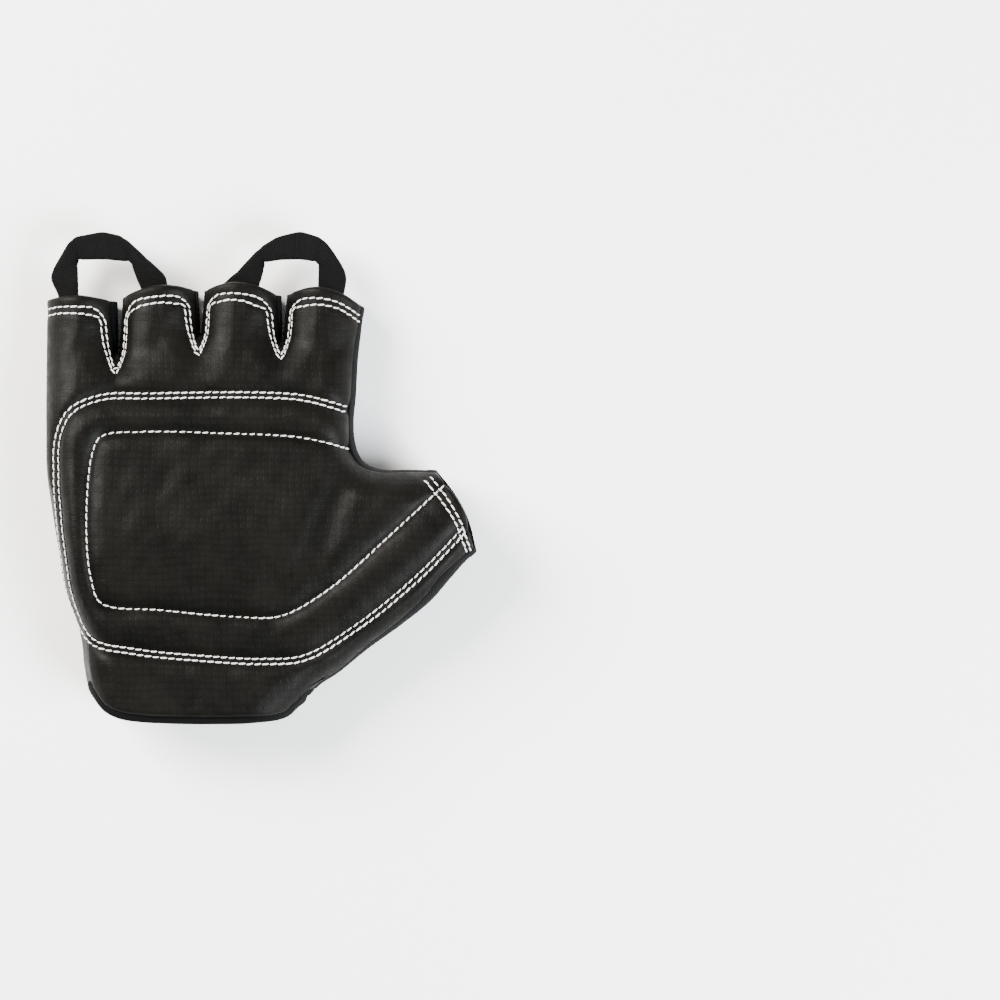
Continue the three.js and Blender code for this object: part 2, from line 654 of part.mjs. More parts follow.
// The gusset that closes a slot: its outer face goes round each finger's side.
function gusset(slot, name) {
  const stations = [];
  for (let j = FINGER_ROWS; j >= 1; j -= 1) stations.push([1, fingerShare(j)]);
  stations.push([0, 0]);
  for (let j = 1; j <= FINGER_ROWS; j += 1) stations.push([-1, fingerShare(j)]);
  const rows = stations.map(([hand, t]) => {
    const sewn = notchSide(slot, hand || 1, t);
    const near = slotEdges[slot].nearest(sewn.x, sewn.y);
    const side = new THREE.Vector3(near.x, near.y, 0);
    const inward = sewn.clone().sub(side);
    const reach = Math.max(inward.length() - (hand === 0 ? FOOT_GAP : GUSSET_GAP), SEAM_GAP);
    inward.normalize();
    const spot = (share, face) => place(side.clone().addScaledVector(inward, reach * share), face,
      { inward, distance: reach * share });
    return [spot(1, 1), spot(0.5, 1), spot(0.15, 1), spot(0, 0), spot(0.15, -1), spot(0.5, -1), spot(1, -1)];
  });
  const geometry = sheetGeometry(gridQuads(rows), (spot) => skin(spot, 0), (spot) => skin(spot, GUSSET_WALL));
  return named(name, "gusset", geometry);
}

// Folded tape round the wrist opening.
function cuffBinding() {
  const station = (share, side) => {
    const edge = cuffPlace(share, side, CUFF_BAND);
    const mouth = cuffPlace(share, side, 0);
    return [0, 0.5, 1].map((t) => (
      { x: mix(edge.x, mouth.x, t), y: mix(edge.y, mouth.y, t), side, lip: t }
    ));
  };
  const last = cuffShares.length - 1;
  const palmLine = cuffShares.map((share, k) => station(share, k === 0 || k === last ? 0 : 1));
  const backLine = cuffShares.slice(1, last).reverse().map((share) => station(share, -1));
  const ring = [...palmLine, ...backLine, palmLine[0]];
  const proud = (CUFF_TAPE_THICKNESS - LEATHER_WALL) / 2;
  const out = (spot) => (spot.side < 0 ? 0 : -proud) + (spot.lip === 1 ? proud : 0);
  return sheetGeometry(
    gridQuads(ring),
    (spot) => skin(spot, out(spot)),
    (spot) => skin(spot, out(spot) + CUFF_TAPE_THICKNESS - (spot.lip === 1 ? 2 * proud : 0)),
  );
}

// Places on the strap. s is the distance from its tip and across is the distance from its
// middle line, towards the fingers; both in millimetres.
const strapTip = planPoint(STRAP_TIP);
const strapRun = new THREE.Vector3(-STRAP_LENGTH, STRAP_RISE * GLOVE_LENGTH, 0).normalize();
const strapOut = new THREE.Vector3(-strapRun.y, strapRun.x, 0).negate();

function strapPlace(s, across) {
  const point = strapTip.clone().addScaledVector(strapRun, s).addScaledVector(strapOut, across);
  return place(point, -1);
}

// Share of the full width at a distance from a rounded tip.
function tipShare(s, round) {
  const away = 1 - Math.min(s / round, 1);
  return Math.sqrt(1 - away * away);
}

// Rows of places on the back across a tape that follows a route in the plan.
function ribbonRows(route, width) {
  return route.map((point, i) => {
    const before = route[Math.max(i - 1, 0)];
    const after = route[Math.min(i + 1, route.length - 1)];
    const run = after.clone().sub(before).normalize();
    const aside = new THREE.Vector3(-run.y, run.x, 0);
    return [-0.5, 0, 0.5].map((t) => place(point.clone().addScaledVector(aside, width * t), -1));
  });
}

function strapGrid(from, to, halfWidth, round, slant) {
  const grid = [];
  for (let k = 0; k <= STRAP_COLUMNS; k += 1) {
    const t = (k / STRAP_COLUMNS) ** TIP_CROWDING;
    const half = halfWidth - round + round * tipShare((to - from) * t, round);
    const line = [];
    for (let j = 0; j <= STRAP_ROWS; j += 1) {
      const across = mix(-half, half, j / STRAP_ROWS);
      line.push(strapPlace(mix(from, to + slant * across, t), across));
    }
    grid.push(line);
  }
  return grid;
}

const strapBase = STRAP_SEAT + STRAP_THICKNESS;

// Middle line of the tape that binds the strap: along its wrist edge, round its tip, back
// along its finger edge, and round the end of the slit that lets the hand in.
function strapBindingRoute() {
  const middle = BINDING_WIDTH / 2;
  const half = STRAP_WIDTH / 2 - middle;
  const corner = STRAP_TIP_ROUND - middle;
  const spot = (s, across) => strapTip.clone().addScaledVector(strapRun, s).addScaledVector(strapOut, across);
  const route = [];
  const rootAlong = STRAP_LENGTH - STRAP_SLANT * half - BINDING_WIDTH;
  for (let k = BINDING_STEPS; k >= 1; k -= 1) {
    route.push(spot(mix(STRAP_TIP_ROUND, rootAlong, k / BINDING_STEPS), -half));
  }
  for (let k = 0; k <= TIP_STEPS; k += 1) {
    const turn = (Math.PI / 2) * (k / TIP_STEPS);
    route.push(spot(STRAP_TIP_ROUND - corner * Math.sin(turn), -half + corner * (1 - Math.cos(turn))));
  }
  for (let k = TIP_STEPS; k >= 0; k -= 1) {
    const turn = (Math.PI / 2) * (k / TIP_STEPS);
    route.push(spot(STRAP_TIP_ROUND - corner * Math.sin(turn), half - corner * (1 - Math.cos(turn))));
  }
  const [end, mouth] = SLIT.slice(0, 2).map(planPoint);
  const run = end.clone().sub(mouth).normalize();
  const aside = new THREE.Vector3(run.y, -run.x, 0).negate();
  const radius = (SLIT_WIDTH + BINDING_WIDTH) / 2;
  const leave = mouth.clone().addScaledVector(aside, radius);
  const leaveAlong = leave.clone().sub(strapTip).dot(strapRun) - BINDING_WIDTH;
  for (let k = 1; k <= BINDING_STEPS; k += 1) {
    route.push(spot(mix(STRAP_TIP_ROUND, leaveAlong, k / BINDING_STEPS), half));
  }
  route.push(leave);
  for (let k = 0; k <= TIP_STEPS; k += 1) {
    const turn = Math.PI * (k / TIP_STEPS);
    const side = end.clone().addScaledVector(aside, radius * Math.cos(turn));
    route.push(side.addScaledVector(run, radius * Math.sin(turn)));
  }
  route.push(mouth.clone().addScaledVector(aside, -radius));
  return route;
}

function strapPieces() {
  const inset = BINDING_WIDTH + SEAM_GAP;
  const body = strapGrid(inset, STRAP_LENGTH, STRAP_WIDTH / 2 - inset, STRAP_TIP_ROUND - inset, STRAP_SLANT);
  const bodyGeometry = sheetGeometry(gridQuads(body, true),
    (spot) => skin(spot, -strapBase), (spot) => skin(spot, -STRAP_SEAT));
  const patchStart = BINDING_WIDTH + PATCH_MARGIN;
  const patch = strapGrid(patchStart, patchStart + PATCH_LENGTH, PATCH_WIDTH / 2, PATCH_TIP_ROUND, 0);
  const patchGeometry = sheetGeometry(gridQuads(patch, true),
    (spot) => skin(spot, -strapBase - SEAM_GAP - PATCH_THICKNESS),
    (spot) => skin(spot, -strapBase - SEAM_GAP));

  const ring = ribbonRows(strapBindingRoute(), BINDING_WIDTH);
  const rim = (BINDING_THICKNESS - STRAP_THICKNESS) / 2;
  const bindingGeometry = sheetGeometry(gridQuads(ring),
    (spot) => skin(spot, -STRAP_SEAT - BINDING_THICKNESS + rim), (spot) => skin(spot, -STRAP_SEAT));
  return [
    named("wrist_strap", "mesh", bodyGeometry),
    named("strap_binding", "tape", bindingGeometry),
    named("strap_patch", "patch", patchGeometry),
  ];
}

// A pull loop: webbing sewn inside the leather of two fingers, folded flat at its corners.
function loopStations(folds) {
  const sections = folds.map((fold) => {
    const turn = THREE.MathUtils.degToRad(fold.lean);
    const width = fold.spread * TAPE_WIDTH;
    const y = LOOP_BASE_ALONG * GLOVE_LENGTH + (fold.up > 0 ? fold.up * LOOP_RISE : -LOOP_TUCK);
    const inner = new THREE.Vector3(fold.across * PALM_WIDTH, y, 0);
    const outer = inner.clone().add(new THREE.Vector3(Math.cos(turn) * width, Math.sin(turn) * width, 0));
    return { inner, outer };
  });
  const stations = [sections[0]];
  for (let i = 1; i < sections.length; i += 1) {
    const [a, b] = [sections[i - 1], sections[i]];
    const steps = Math.max(1, Math.round(a.inner.distanceTo(b.inner) / LOOP_STEP));
    for (let n = 1; n <= steps; n += 1) {
      const t = n / steps;
      stations.push({ inner: a.inner.clone().lerp(b.inner, t), outer: a.outer.clone().lerp(b.outer, t) });
    }
  }
  return stations;
}

function pullLoop({ name, folds }) {
  const rows = loopStations(folds).map(({ inner, outer }) => [0, 1 / 3, 2 / 3, 1]
    .map((t) => place(inner.clone().lerp(outer, t), 1)));
  const hem = LOOP_BASE_ALONG * GLOVE_LENGTH;
  const level = seamHeight(0, hem) + (1 - SEAM_SHARE) * FINGER_DEPTH * LOOP_LEVEL;
  const face = (spot, depth) => {
    const sewn = skin(spot, LEATHER_WALL + LOOP_SEAT + depth);
    const free = new THREE.Vector3(spot.x, spot.y, level - depth);
    return sewn.lerp(free, smooth((spot.y - hem) / LOOP_EASE));
  };
  const quads = gridQuads(rows, true);
  const geometry = sheetGeometry(quads, (spot) => face(spot, 0), (spot) => face(spot, TAPE_THICKNESS));
  return named(name, "tape", geometry);
}

// Solids for cutting.
function toSolid(geometry) {
  const bare = new THREE.BufferGeometry();
  bare.setAttribute("position", geometry.getAttribute("position"));
  if (geometry.index) bare.setIndex(geometry.index);
  const merged = mergeVertices(bare);
  return new wasm.Manifold(new wasm.Mesh({
    numProp: 3,
    vertProperties: new Float32Array(merged.getAttribute("position").array),
    triVerts: new Uint32Array(merged.index.array),
  }));
}

function toGeometry(solid) {
  const mesh = solid.getMesh();
  const geometry = new THREE.BufferGeometry();
  geometry.setAttribute("position", new THREE.BufferAttribute(new Float32Array(mesh.vertProperties), 3));
  geometry.setIndex(new THREE.BufferAttribute(new Uint32Array(mesh.triVerts), 1));
  return geometry;
}

// The slit in the back, from its keyhole under the strap to the mouth of the cuff.
function slitTool() {
  const points = SLIT.map(planPoint);
  const half = SLIT_WIDTH / 2;
  const line = points.map((point, i) => {
    const before = points[Math.max(i - 1, 0)];
    const run = points[Math.min(i + 1, points.length - 1)].clone().sub(before).normalize();
    return [point, new THREE.Vector3(-run.y, run.x, 0).multiplyScalar(half)];
  });
  const outline = [
    ...line.map(([point, aside]) => point.clone().add(aside)),
    ...line.toReversed().map(([point, aside]) => point.clone().sub(aside)),
  ];
  const shape = new THREE.Shape(outline.map((point) => new THREE.Vector2(point.x, point.y)));
  const height = seamHeight(points[1].x, points[1].y) - MESH_WALL;
  const geometry = new THREE.ExtrudeGeometry(shape, { depth: height + MESH_WALL, bevelEnabled: false });
  geometry.deleteAttribute("normal");
  geometry.deleteAttribute("uv");
  return toSolid(geometry.translate(0, 0, -2 * MESH_WALL));
}

const group = new THREE.Group();
const slit = slitTool();
const [meshPanel, backKnit] = backPanels();
group.add(palmLeather());
group.add(named("back_mesh", "mesh", toGeometry(toSolid(meshPanel).subtract(slit))));
group.add(backKnit);
group.add(named("cuff_binding", "tape", toGeometry(toSolid(cuffBinding()).subtract(slit))));
["gusset_little", "gusset_middle", "gusset_index"].forEach((name, slot) => group.add(gusset(slot, name)));
strapPieces().forEach((mesh) => group.add(mesh));
LOOPS.forEach((loop) => group.add(pullLoop(loop)));

// The origin goes under the middle of the whole glove.
const box = new THREE.Box3().setFromObject(group);
const middle = box.getCenter(new THREE.Vector3());
group.position.set(-middle.x, -middle.y, -box.min.z);

export default group;
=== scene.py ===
"""A right-hand weightlifting glove with open fingers, lying palm up on a pale floor."""
import logging
import math
from dataclasses import dataclass, field
from enum import Enum
from typing import Any, NamedTuple, Optional, Sequence

import bpy
import numpy as np
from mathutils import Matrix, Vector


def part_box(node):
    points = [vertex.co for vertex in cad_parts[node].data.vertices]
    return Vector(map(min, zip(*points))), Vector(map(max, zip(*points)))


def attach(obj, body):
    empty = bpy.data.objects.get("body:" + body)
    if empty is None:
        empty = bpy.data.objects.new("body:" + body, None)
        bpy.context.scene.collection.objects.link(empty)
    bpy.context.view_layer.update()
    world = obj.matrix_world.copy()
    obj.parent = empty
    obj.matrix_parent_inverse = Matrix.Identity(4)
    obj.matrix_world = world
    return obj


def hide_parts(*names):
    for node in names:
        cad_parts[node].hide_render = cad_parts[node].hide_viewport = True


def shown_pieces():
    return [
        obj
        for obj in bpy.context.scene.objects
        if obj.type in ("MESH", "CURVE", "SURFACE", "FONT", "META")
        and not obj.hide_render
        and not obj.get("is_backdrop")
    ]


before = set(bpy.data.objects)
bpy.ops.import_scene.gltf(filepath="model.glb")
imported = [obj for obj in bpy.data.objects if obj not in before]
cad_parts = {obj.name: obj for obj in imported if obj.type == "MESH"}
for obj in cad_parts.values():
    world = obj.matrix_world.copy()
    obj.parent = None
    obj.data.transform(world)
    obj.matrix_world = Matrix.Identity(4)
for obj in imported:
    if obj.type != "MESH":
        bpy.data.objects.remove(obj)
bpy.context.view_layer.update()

MM = 0.001
log = logging.getLogger("glove")

Rows = Sequence[Sequence[float]]
Span = tuple[float, float]
Socket = bpy.types.NodeSocket
# A wave texture of scale 1 draws this many bands to a unit.
WAVES_TO_A_UNIT = 3.2
# Steps between two points of a curve while it is drawn, and places that are measured at once.
CURVE_STEPS = 24
BLOCK = 4096


class Side(Enum):
    """The face of the glove that a place in its plan lies on."""

    PALM = 1
    BACK = -1


def smooth(t: np.ndarray) -> np.ndarray:
    """Ease from 0 to 1."""
    t = np.clip(t, 0, 1)
    return t * t * (3 - 2 * t)


def mix(a: Any, b: Any, t: Any) -> Any:
    """Go from a to b as t goes from 0 to 1."""
    return a + (b - a) * t


def bell(distance: np.ndarray, width: float) -> np.ndarray:
    """Fall from 1 at no distance to nearly 0 at twice the width."""
    return np.exp(-((distance / width) ** 2))


def unit(vectors: np.ndarray) -> np.ndarray:
    """Scale vectors to length 1."""
    return vectors / np.maximum(np.linalg.norm(vectors, axis=-1, keepdims=True), 1e-9)


def lengths_of(line: np.ndarray) -> np.ndarray:
    """Give the distance travelled along a line at each of its points."""
    return np.concatenate([[0.0], np.cumsum(np.linalg.norm(np.diff(line, axis=0), axis=1))])


def read_off(goal: np.ndarray, run: np.ndarray, rows: np.ndarray) -> np.ndarray:
    """Give what rows of values come to at distances along a line.

    Args:
        goal: The distances.
        run: The distance at each row.
        rows: The values, one row to each point of the line.

    Returns:
        The values, with one more axis than the distances have.
    """
    return np.stack([np.interp(goal, run, axis) for axis in rows.T], axis=-1)


def laid_flat(*axes: np.ndarray) -> np.ndarray:
    """Give places of a plan, or its two axes, a third axis of zeros."""
    flat = np.column_stack(axes)
    return np.column_stack([flat, np.zeros(len(flat))])


def spaced(line: np.ndarray, steps: int) -> np.ndarray:
    """Place points evenly along a line.

    Args:
        line: The line's points, in two or three dimensions.
        steps: How many stretches to cut it into.

    Returns:
        One point more than there are steps.
    """
    run = lengths_of(line)
    return read_off(np.linspace(0, run[-1], steps + 1), run, line)


def smooth_line(points: np.ndarray, steps: int) -> np.ndarray:
    """Draw an evenly spaced curve through points, with no overshoot at close ones.

    Args:
        points: The points that the curve goes through.
        steps: How many stretches the curve is cut into.

    Returns:
        The curve's points.
    """
    p = np.vstack([2 * points[0] - points[1], points, 2 * points[-1] - points[-2]])
    t = np.linspace(0, 1, CURVE_STEPS, endpoint=False)[:, None]
    pieces = []
    for p0, p1, p2, p3 in zip(p, p[1:], p[2:], p[3:]):
        pairs = ((p0, p1), (p1, p2), (p2, p3))
        d0, d1, d2 = (math.sqrt(max(np.linalg.norm(b - a), 1e-6)) for a, b in pairs)
        leave = ((p1 - p0) / d0 - (p2 - p0) / (d0 + d1) + (p2 - p1) / d1) * d1
        arrive = ((p2 - p1) / d1 - (p3 - p1) / (d1 + d2) + (p3 - p2) / d2) * d1
        pieces.append((2 * t**3 - 3 * t**2 + 1) * p1 + (t**3 - 2 * t**2 + t) * leave
                      + (3 * t**2 - 2 * t**3) * p2 + (t**3 - t**2) * arrive)
    return spaced(np.vstack([*pieces, points[-1:]]), steps)


class Near(NamedTuple):
    """What is nearest to some places: how far, where, which way is inward, and how far along."""

    distance: np.ndarray
    foot: np.ndarray
    inward: np.ndarray
    along: np.ndarray


class Edge:
    """A line in the plan whose left side, seen along its travel, is the inside of the glove."""

    def __init__(self, points: np.ndarray, prolonged: bool = True) -> None:
        """Keep the line and its normals.

        Args:
            points: The line's points in millimetres.
            prolonged: Whether both end stretches go on for ever, so that open ends aren't sides.
        """
        self.points = points
        self.run = lengths_of(points)
        self.total = float(self.run[-1])
        self.prolonged = prolonged
        padded = np.vstack([points[:1], points, points[-1:]])
        travel = unit(padded[2:] - padded[:-2])
        self.normals = np.stack([-travel[:, 1], travel[:, 0]], axis=1)

    def at(self, share: np.ndarray, stand_back: Any = 0.0) -> np.ndarray:
        """Give places along the line.

        Args:
            share: How far along, from 0 to 1.
            stand_back: How far inward from the line, in millimetres.

        Returns:
            The places.
        """
        goal = np.clip(share, 0, 1) * self.total
        point, inward = (read_off(goal, self.run, rows) for rows in (self.points, self.normals))
        return point + unit(inward) * np.asarray(stand_back)[..., None]

    def share_of_height(self, y: np.ndarray) -> np.ndarray:
        """Give the share of the line at which it passes each height."""
        order = np.argsort(self.points[:, 1])
        return np.interp(y, self.points[order, 1], self.run[order]) / self.total

    def nearest(self, places: np.ndarray) -> Near:
        """Find the nearest point of the line to each place."""
        a = self.points[:-1]
        travel = self.points[1:] - a
        low, high = np.zeros(len(a)), np.ones(len(a))
        if self.prolonged:
            low[0], high[-1] = -np.inf, np.inf
        found = []
        for start in range(0, len(places), BLOCK):
            block = places[start:start + BLOCK]
            t = np.einsum("psk,sk->ps", block[:, None] - a, travel) / (travel**2).sum(axis=1)
            t = np.clip(t, low, high)
            foot = a + travel * t[..., None]
            gap = np.linalg.norm(block[:, None] - foot, axis=-1)
            best = gap.argmin(axis=1)
            row = np.arange(len(block))
            part = np.clip(t[row, best], 0, 1)[:, None]
            inward = unit(mix(self.normals[best], self.normals[best + 1], part))
            along = mix(self.run[best], self.run[best + 1], part[:, 0])
            found.append((gap[row, best], foot[row, best], inward, along))
        return Near(*(np.concatenate(column) for column in zip(*found)))


def shares_of(line: np.ndarray) -> np.ndarray:
    """Give the share of a line's length at each of its points."""
    run = lengths_of(line)
    return run / run[-1]


def coons(bottom: np.ndarray, top: np.ndarray, left: np.ndarray, right: np.ndarray) -> np.ndarray:
    """Fill a patch between four border lines with a grid that keeps them.

    Args:
        bottom: The line along the first row.
        top: The line along the last row.
        left: The line down the first column.
        right: The line down the last column.

    Returns:
        The grid's places, by row and column.
    """
    b, t, l, r = (shares_of(line) for line in (bottom, top, left, right))
    level = mix(l[:, None], r[:, None], np.linspace(0, 1, len(b))[None])
    u = mix(b[None], t[None], level)
    v = mix(l[:, None], r[:, None], u)
    u, v = u[..., None], v[..., None]
    grid = ((1 - v) * bottom[None] + v * top[None] + (1 - u) * left[:, None] + u * right[:, None]
            - (1 - u) * (1 - v) * bottom[0] - u * (1 - v) * bottom[-1]
            - u * v * top[-1] - (1 - u) * v * top[0])
    grid[0], grid[-1], grid[:, 0], grid[:, -1] = bottom, top, left, right
    return grid


def eased_shares(steps: int, crowding: float = 0.35) -> np.ndarray:
    """Give shares from 0 to 1 that crowd towards both ends."""
    even = np.linspace(0, 1, steps + 1)
    return mix(even, (1 - np.cos(np.pi * even)) / 2, crowding)


def edge_shares(steps: int, left: bool, right: bool, edge: float = 0.3) -> np.ndarray:
    """Give shares from 0 to 1 that crowd towards the sides of the glove only.

    Args:
        steps: How many columns there are.
        left: Whether the first column is at a side of the glove.
        right: Whether the last one is.
        edge: The share of the columns that crowd at each such side.

    Returns:
        The shares.
    """
    weight = np.ones(steps)
    place = (np.arange(steps) + 0.5) / steps
    if left:
        weight *= np.clip(place / edge, 0.06, 1)
    if right:
        weight *= np.clip((1 - place) / edge, 0.06, 1)
    return np.concatenate([[0.0], np.cumsum(weight)]) / weight.sum()


class FaceGrids(NamedTuple):
    """The plan of one face of the glove, in patches that share their borders."""

    palm: np.ndarray
    fingers: list[np.ndarray]
    thumb: np.ndarray
    right: np.ndarray
    low_line: np.ndarray
    up_line: np.ndarray


@dataclass
class GloveForm:
    """The hand shape of the glove in millimetres, and where each place of its plan is in space."""

    length: float = 159.0
    palm_width: float = 113.0
    thumb_reach: float = 41.4
    palm_depth: float = 30.0
    cuff_depth: float = 25.0
    finger_depth: float = 19.0
    thumb_depth: float = 24.0
    thumb_rise: float = 4.0
    edge_round: float = 12.0
    seam_share: float = 0.42
    palm_fullness: float = 2.2
    back_fullness: float = 2.8
    seam_gap: float = 0.3
    cuff_band: float = 3.4
    strap_stack: float = 3.4
    lift_span: tuple[float, float] = (0.36, 0.64)
    finger_root: float = 0.844
    back_cuff_rise: float = 0.018
    slot_foot: float = 0.35
    # Mesh fineness: columns across a finger, and rows along each stretch of the glove.
    finger_columns: int = 52
    finger_rows: int = 34
    cuff_rows: int = 12
    root_rows: int = 104
    knuckle_rows: int = 46
    thumb_columns: int = 58
    # Outlines: across is a share of palm_width, reach of thumb_reach from the crotch, and
    # along of length from the wrist.
    little_side: Rows = ((-0.358, 0.07), (-0.369, 0.1), (-0.377, 0.136), (-0.385, 0.19), (-0.41, 0.249),
                         (-0.439, 0.308), (-0.459, 0.395), (-0.48, 0.49), (-0.4975, 0.576), (-0.5, 0.667),
                         (-0.5, 0.769), (-0.5, 0.871), (-0.5, 0.961))
    cuff_to_thumb: Rows = ((0.3455, 0.061), (0.378, 0.086), (0.436, 0.113))
    thumb_lower: Rows = ((0.048, 0.168), (0.335, 0.222), (0.596, 0.277), (0.778, 0.331), (0.9, 0.367),
                         (0.996, 0.39))
    thumb_hem: Rows = ((0.996, 0.39), (0.909, 0.467), (0.796, 0.522), (0.639, 0.577))
    thumb_upper: Rows = ((0.639, 0.577), (0.4, 0.5785), (0.17, 0.579), (0.065, 0.588))
    index_side: Rows = ((0.514, 0.601), (0.497, 0.624), (0.489, 0.653), (0.487, 0.689), (0.494, 0.746),
                        (0.5, 0.83), (0.508, 0.882), (0.519, 0.946))
    cuff_edge: Rows = ((-0.358, 0.07), (-0.312, 0.033), (-0.268, 0.0175), (-0.205, 0.009), (-0.1, 0.0045),
                       (0.03, 0.003), (0.16, 0.0045), (0.262, 0.0095), (0.292, 0.0185), (0.313, 0.033),
                       (0.337, 0.047), (0.3455, 0.061))
    # Slots between the fingers: across and along at the foot, across at the mouth, then in
    # millimetres the mouth's gap, how far the leather stands back on the little and on the
    # index side, and how far its notch runs below the foot.
    slots: Rows = ((-0.27, 0.844, -0.266, 2, 2.6, 1.4, 4), (-0.007, 0.887, -0.005, 2.2, 1.3, 1.3, 4),
                   (0.256, 0.875, 0.261, 2, 1.9, 1.4, 3.7))
    # Fingertips from little to index: along at the left end, crown and right end.
    finger_tips: Rows = ((0.96, 0.965, 0.9585), (0.968, 0.988, 0.983), (0.983, 0.995, 0.9725),
                         (0.974, 0.982, 0.946))
    # Width of the knit that shows beyond the leather, by share of each side.
    knit_show_upper: Rows = ((0, 0.9), (0.35, 1.5), (0.5, 1.5), (0.75, 2), (1, 1))
    knit_show_lower: Rows = ((0, 1), (0.25, 1.2), (0.55, 2.2), (0.8, 4), (1, 1.8))
    # The slit in the back that lets the hand in, from its keyhole to the mouth of the cuff.
    slit: Rows = ((-0.362, 0.32), (-0.29, 0.288), (-0.252, 0.19), (-0.2407, -0.05))
    slit_width: float = 1.6
    # Thickness of the glove: the share of its length, then the shares of the cuff's, the palm's
    # and the fingers' depth there. The steps between them are eased over a share of the length.
    depths: Rows = ((0, 1, 0, 0), (0.1, 1, 0, 0), (0.45, 0, 1, 0), (0.68, 0, 0.95, 0), (0.86, 0, 0, 1.08),
                    (1, 0, 0, 1))
    depth_ease: float = 0.05
    # Powers that bend a slot's sides and the panels' sewn edges along it.
    slot_flare: float = 1.3
    notch_flare: float = 0.7
    # How closely the mesh crowds at the cuff's corners and at the roots of the fingers.
    cuff_crowding: float = 0.08
    root_crowding: float = 1.15

    def __post_init__(self) -> None:
        """Draw the sides and find where the plan lies in the frame."""
        self.crotch_x = self.index_side[0][0] * self.palm_width
        self.little = Edge(smooth_line(self.across(self.little_side), 180)[::-1])
        lower = np.vstack([self.across(self.cuff_to_thumb), self.reach(self.thumb_lower)])
        upper = np.vstack([self.reach(self.thumb_upper), self.across(self.index_side)])
        self.lower = Edge(smooth_line(lower, 150))
        self.upper = Edge(smooth_line(upper, 210))
        self.thumb_line = Edge(smooth_line(self.reach(self.thumb_hem), 80))
        self.cuff = Edge(smooth_line(self.across(self.cuff_edge), 190))
        self.root_share = float(self.lower.share_of_height(self.cuff_to_thumb[-1][1] * self.length))
        self.crotch_share = float(self.upper.share_of_height(self.index_side[0][1] * self.length))
        shares = np.linspace(1, 0.04, 14)
        self.slot_edges = [Edge(np.vstack([
            self.slot_side(slot, 1, shares),
            [row[0] * self.palm_width, row[1] * self.length - self.slot_foot],
            self.slot_side(slot, -1, shares[::-1]),
        ])) for slot, row in enumerate(self.slots)]
        self.sides = [self.little, self.lower, self.upper, *self.slot_edges]
        low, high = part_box("palm_leather")
        crown = max(tip[1] for tip in self.finger_tips) * self.length
        self.shift = np.array([low[0] / MM + self.palm_width / 2, high[1] / MM - crown, self.seam_gap / 2])

    def across(self, rows: Rows) -> np.ndarray:
        """Turn rows of across and along into places."""
        return np.array(rows, float)[:, :2] * (self.palm_width, self.length)

    def reach(self, rows: Rows) -> np.ndarray:
        """Turn rows of reach and along into places."""
        return np.array(rows, float) * (self.thumb_reach, self.length) + (self.crotch_x, 0)

    def to_frame(self, points: np.ndarray) -> np.ndarray:
        """Turn millimetres of the plan's frame into metres of the shared frame."""
        return (points + self.shift) * MM

    def slot_side(self, slot: int, hand: int, t: Any) -> np.ndarray:
        """Give a finger's side along a slot.

        Args:
            slot: Which slot, from the little finger's.
            hand: -1 for the finger on the little side, 1 for the one on the index side.
            t: From 0 at the foot of the slot to 1 at the fingertip.

        Returns:
            The places.
        """
        across, along, mouth, gap = self.slots[slot][:4]
        tip = self.finger_tips[slot + (hand > 0)][0 if hand > 0 else 2]
        t = np.asarray(t, float)
        x = mix(across, mouth, t) * self.palm_width + hand * mix(self.slot_foot, gap / 2, t**self.slot_flare)
        return np.stack([x, mix(along, tip, t) * self.length], axis=-1)

    def notch_side(self, slot: int, hand: int, t: Any) -> np.ndarray:
        """Give the sewn edge of the panels along a slot, with the arguments of slot_side."""
        across, _, mouth, gap, near, far, drop = self.slots[slot]
        t = np.asarray(t, float)
        width = gap / 2 + (far if hand > 0 else near)
        x = mix(across, mouth, t) * self.palm_width + hand * width * t**self.notch_flare
        return np.stack([x, self.slot_side(slot, hand, t)[..., 1] - drop * (1 - t)], axis=-1)

    def tip_bow(self, finger: int, share: Any) -> Any:
        """Give how far a fingertip bows above the line between its ends, in millimetres."""
        left, crown, right = self.finger_tips[finger]
        return (crown - (left + right) / 2) * self.length * 4 * (share * (1 - share))

    def nearest_side(self, places: np.ndarray) -> Near:
        """Find the nearest side of the glove, slots included."""
        found = [edge.nearest(places) for edge in self.sides]
        best = np.argmin([near.distance for near in found], axis=0)
        row = np.arange(len(places))
        return Near(*(np.stack(column)[best, row] for column in zip(*found)))

    def thumb_share(self, places: np.ndarray) -> np.ndarray:
        """Give 0 on the palm and 1 at the end of the thumb."""
        below = places[:, 1] <= self.index_side[1][1] * self.length
        return np.where(below, smooth((places[:, 0] - self.crotch_x) / self.thumb_reach), 0)

    def depth_at(self, places: np.ndarray) -> np.ndarray:
        """Give the thickness of the glove from back to palm."""
        rows = np.array(self.depths, float)
        thickness = rows[:, 1:] @ (self.cuff_depth, self.palm_depth, self.finger_depth)
        along = places[:, 1] / self.length
        steps = np.linspace(-self.depth_ease, self.depth_ease, 9)
        eased = np.mean([np.interp(along + step, rows[:, 0], thickness) for step in steps], axis=0)
        return mix(eased, self.thumb_depth, self.thumb_share(places))

    def seam_height(self, places: np.ndarray) -> np.ndarray:
        """Give the height of the side seams over the surface that the glove lies on."""
        start, end = self.lift_span
        wrist = 1 - smooth((places[:, 1] / self.length - start) / (end - start))
        lift = self.strap_stack * wrist + self.thumb_rise * self.thumb_share(places)
        return lift + self.depth_at(places) * self.seam_share

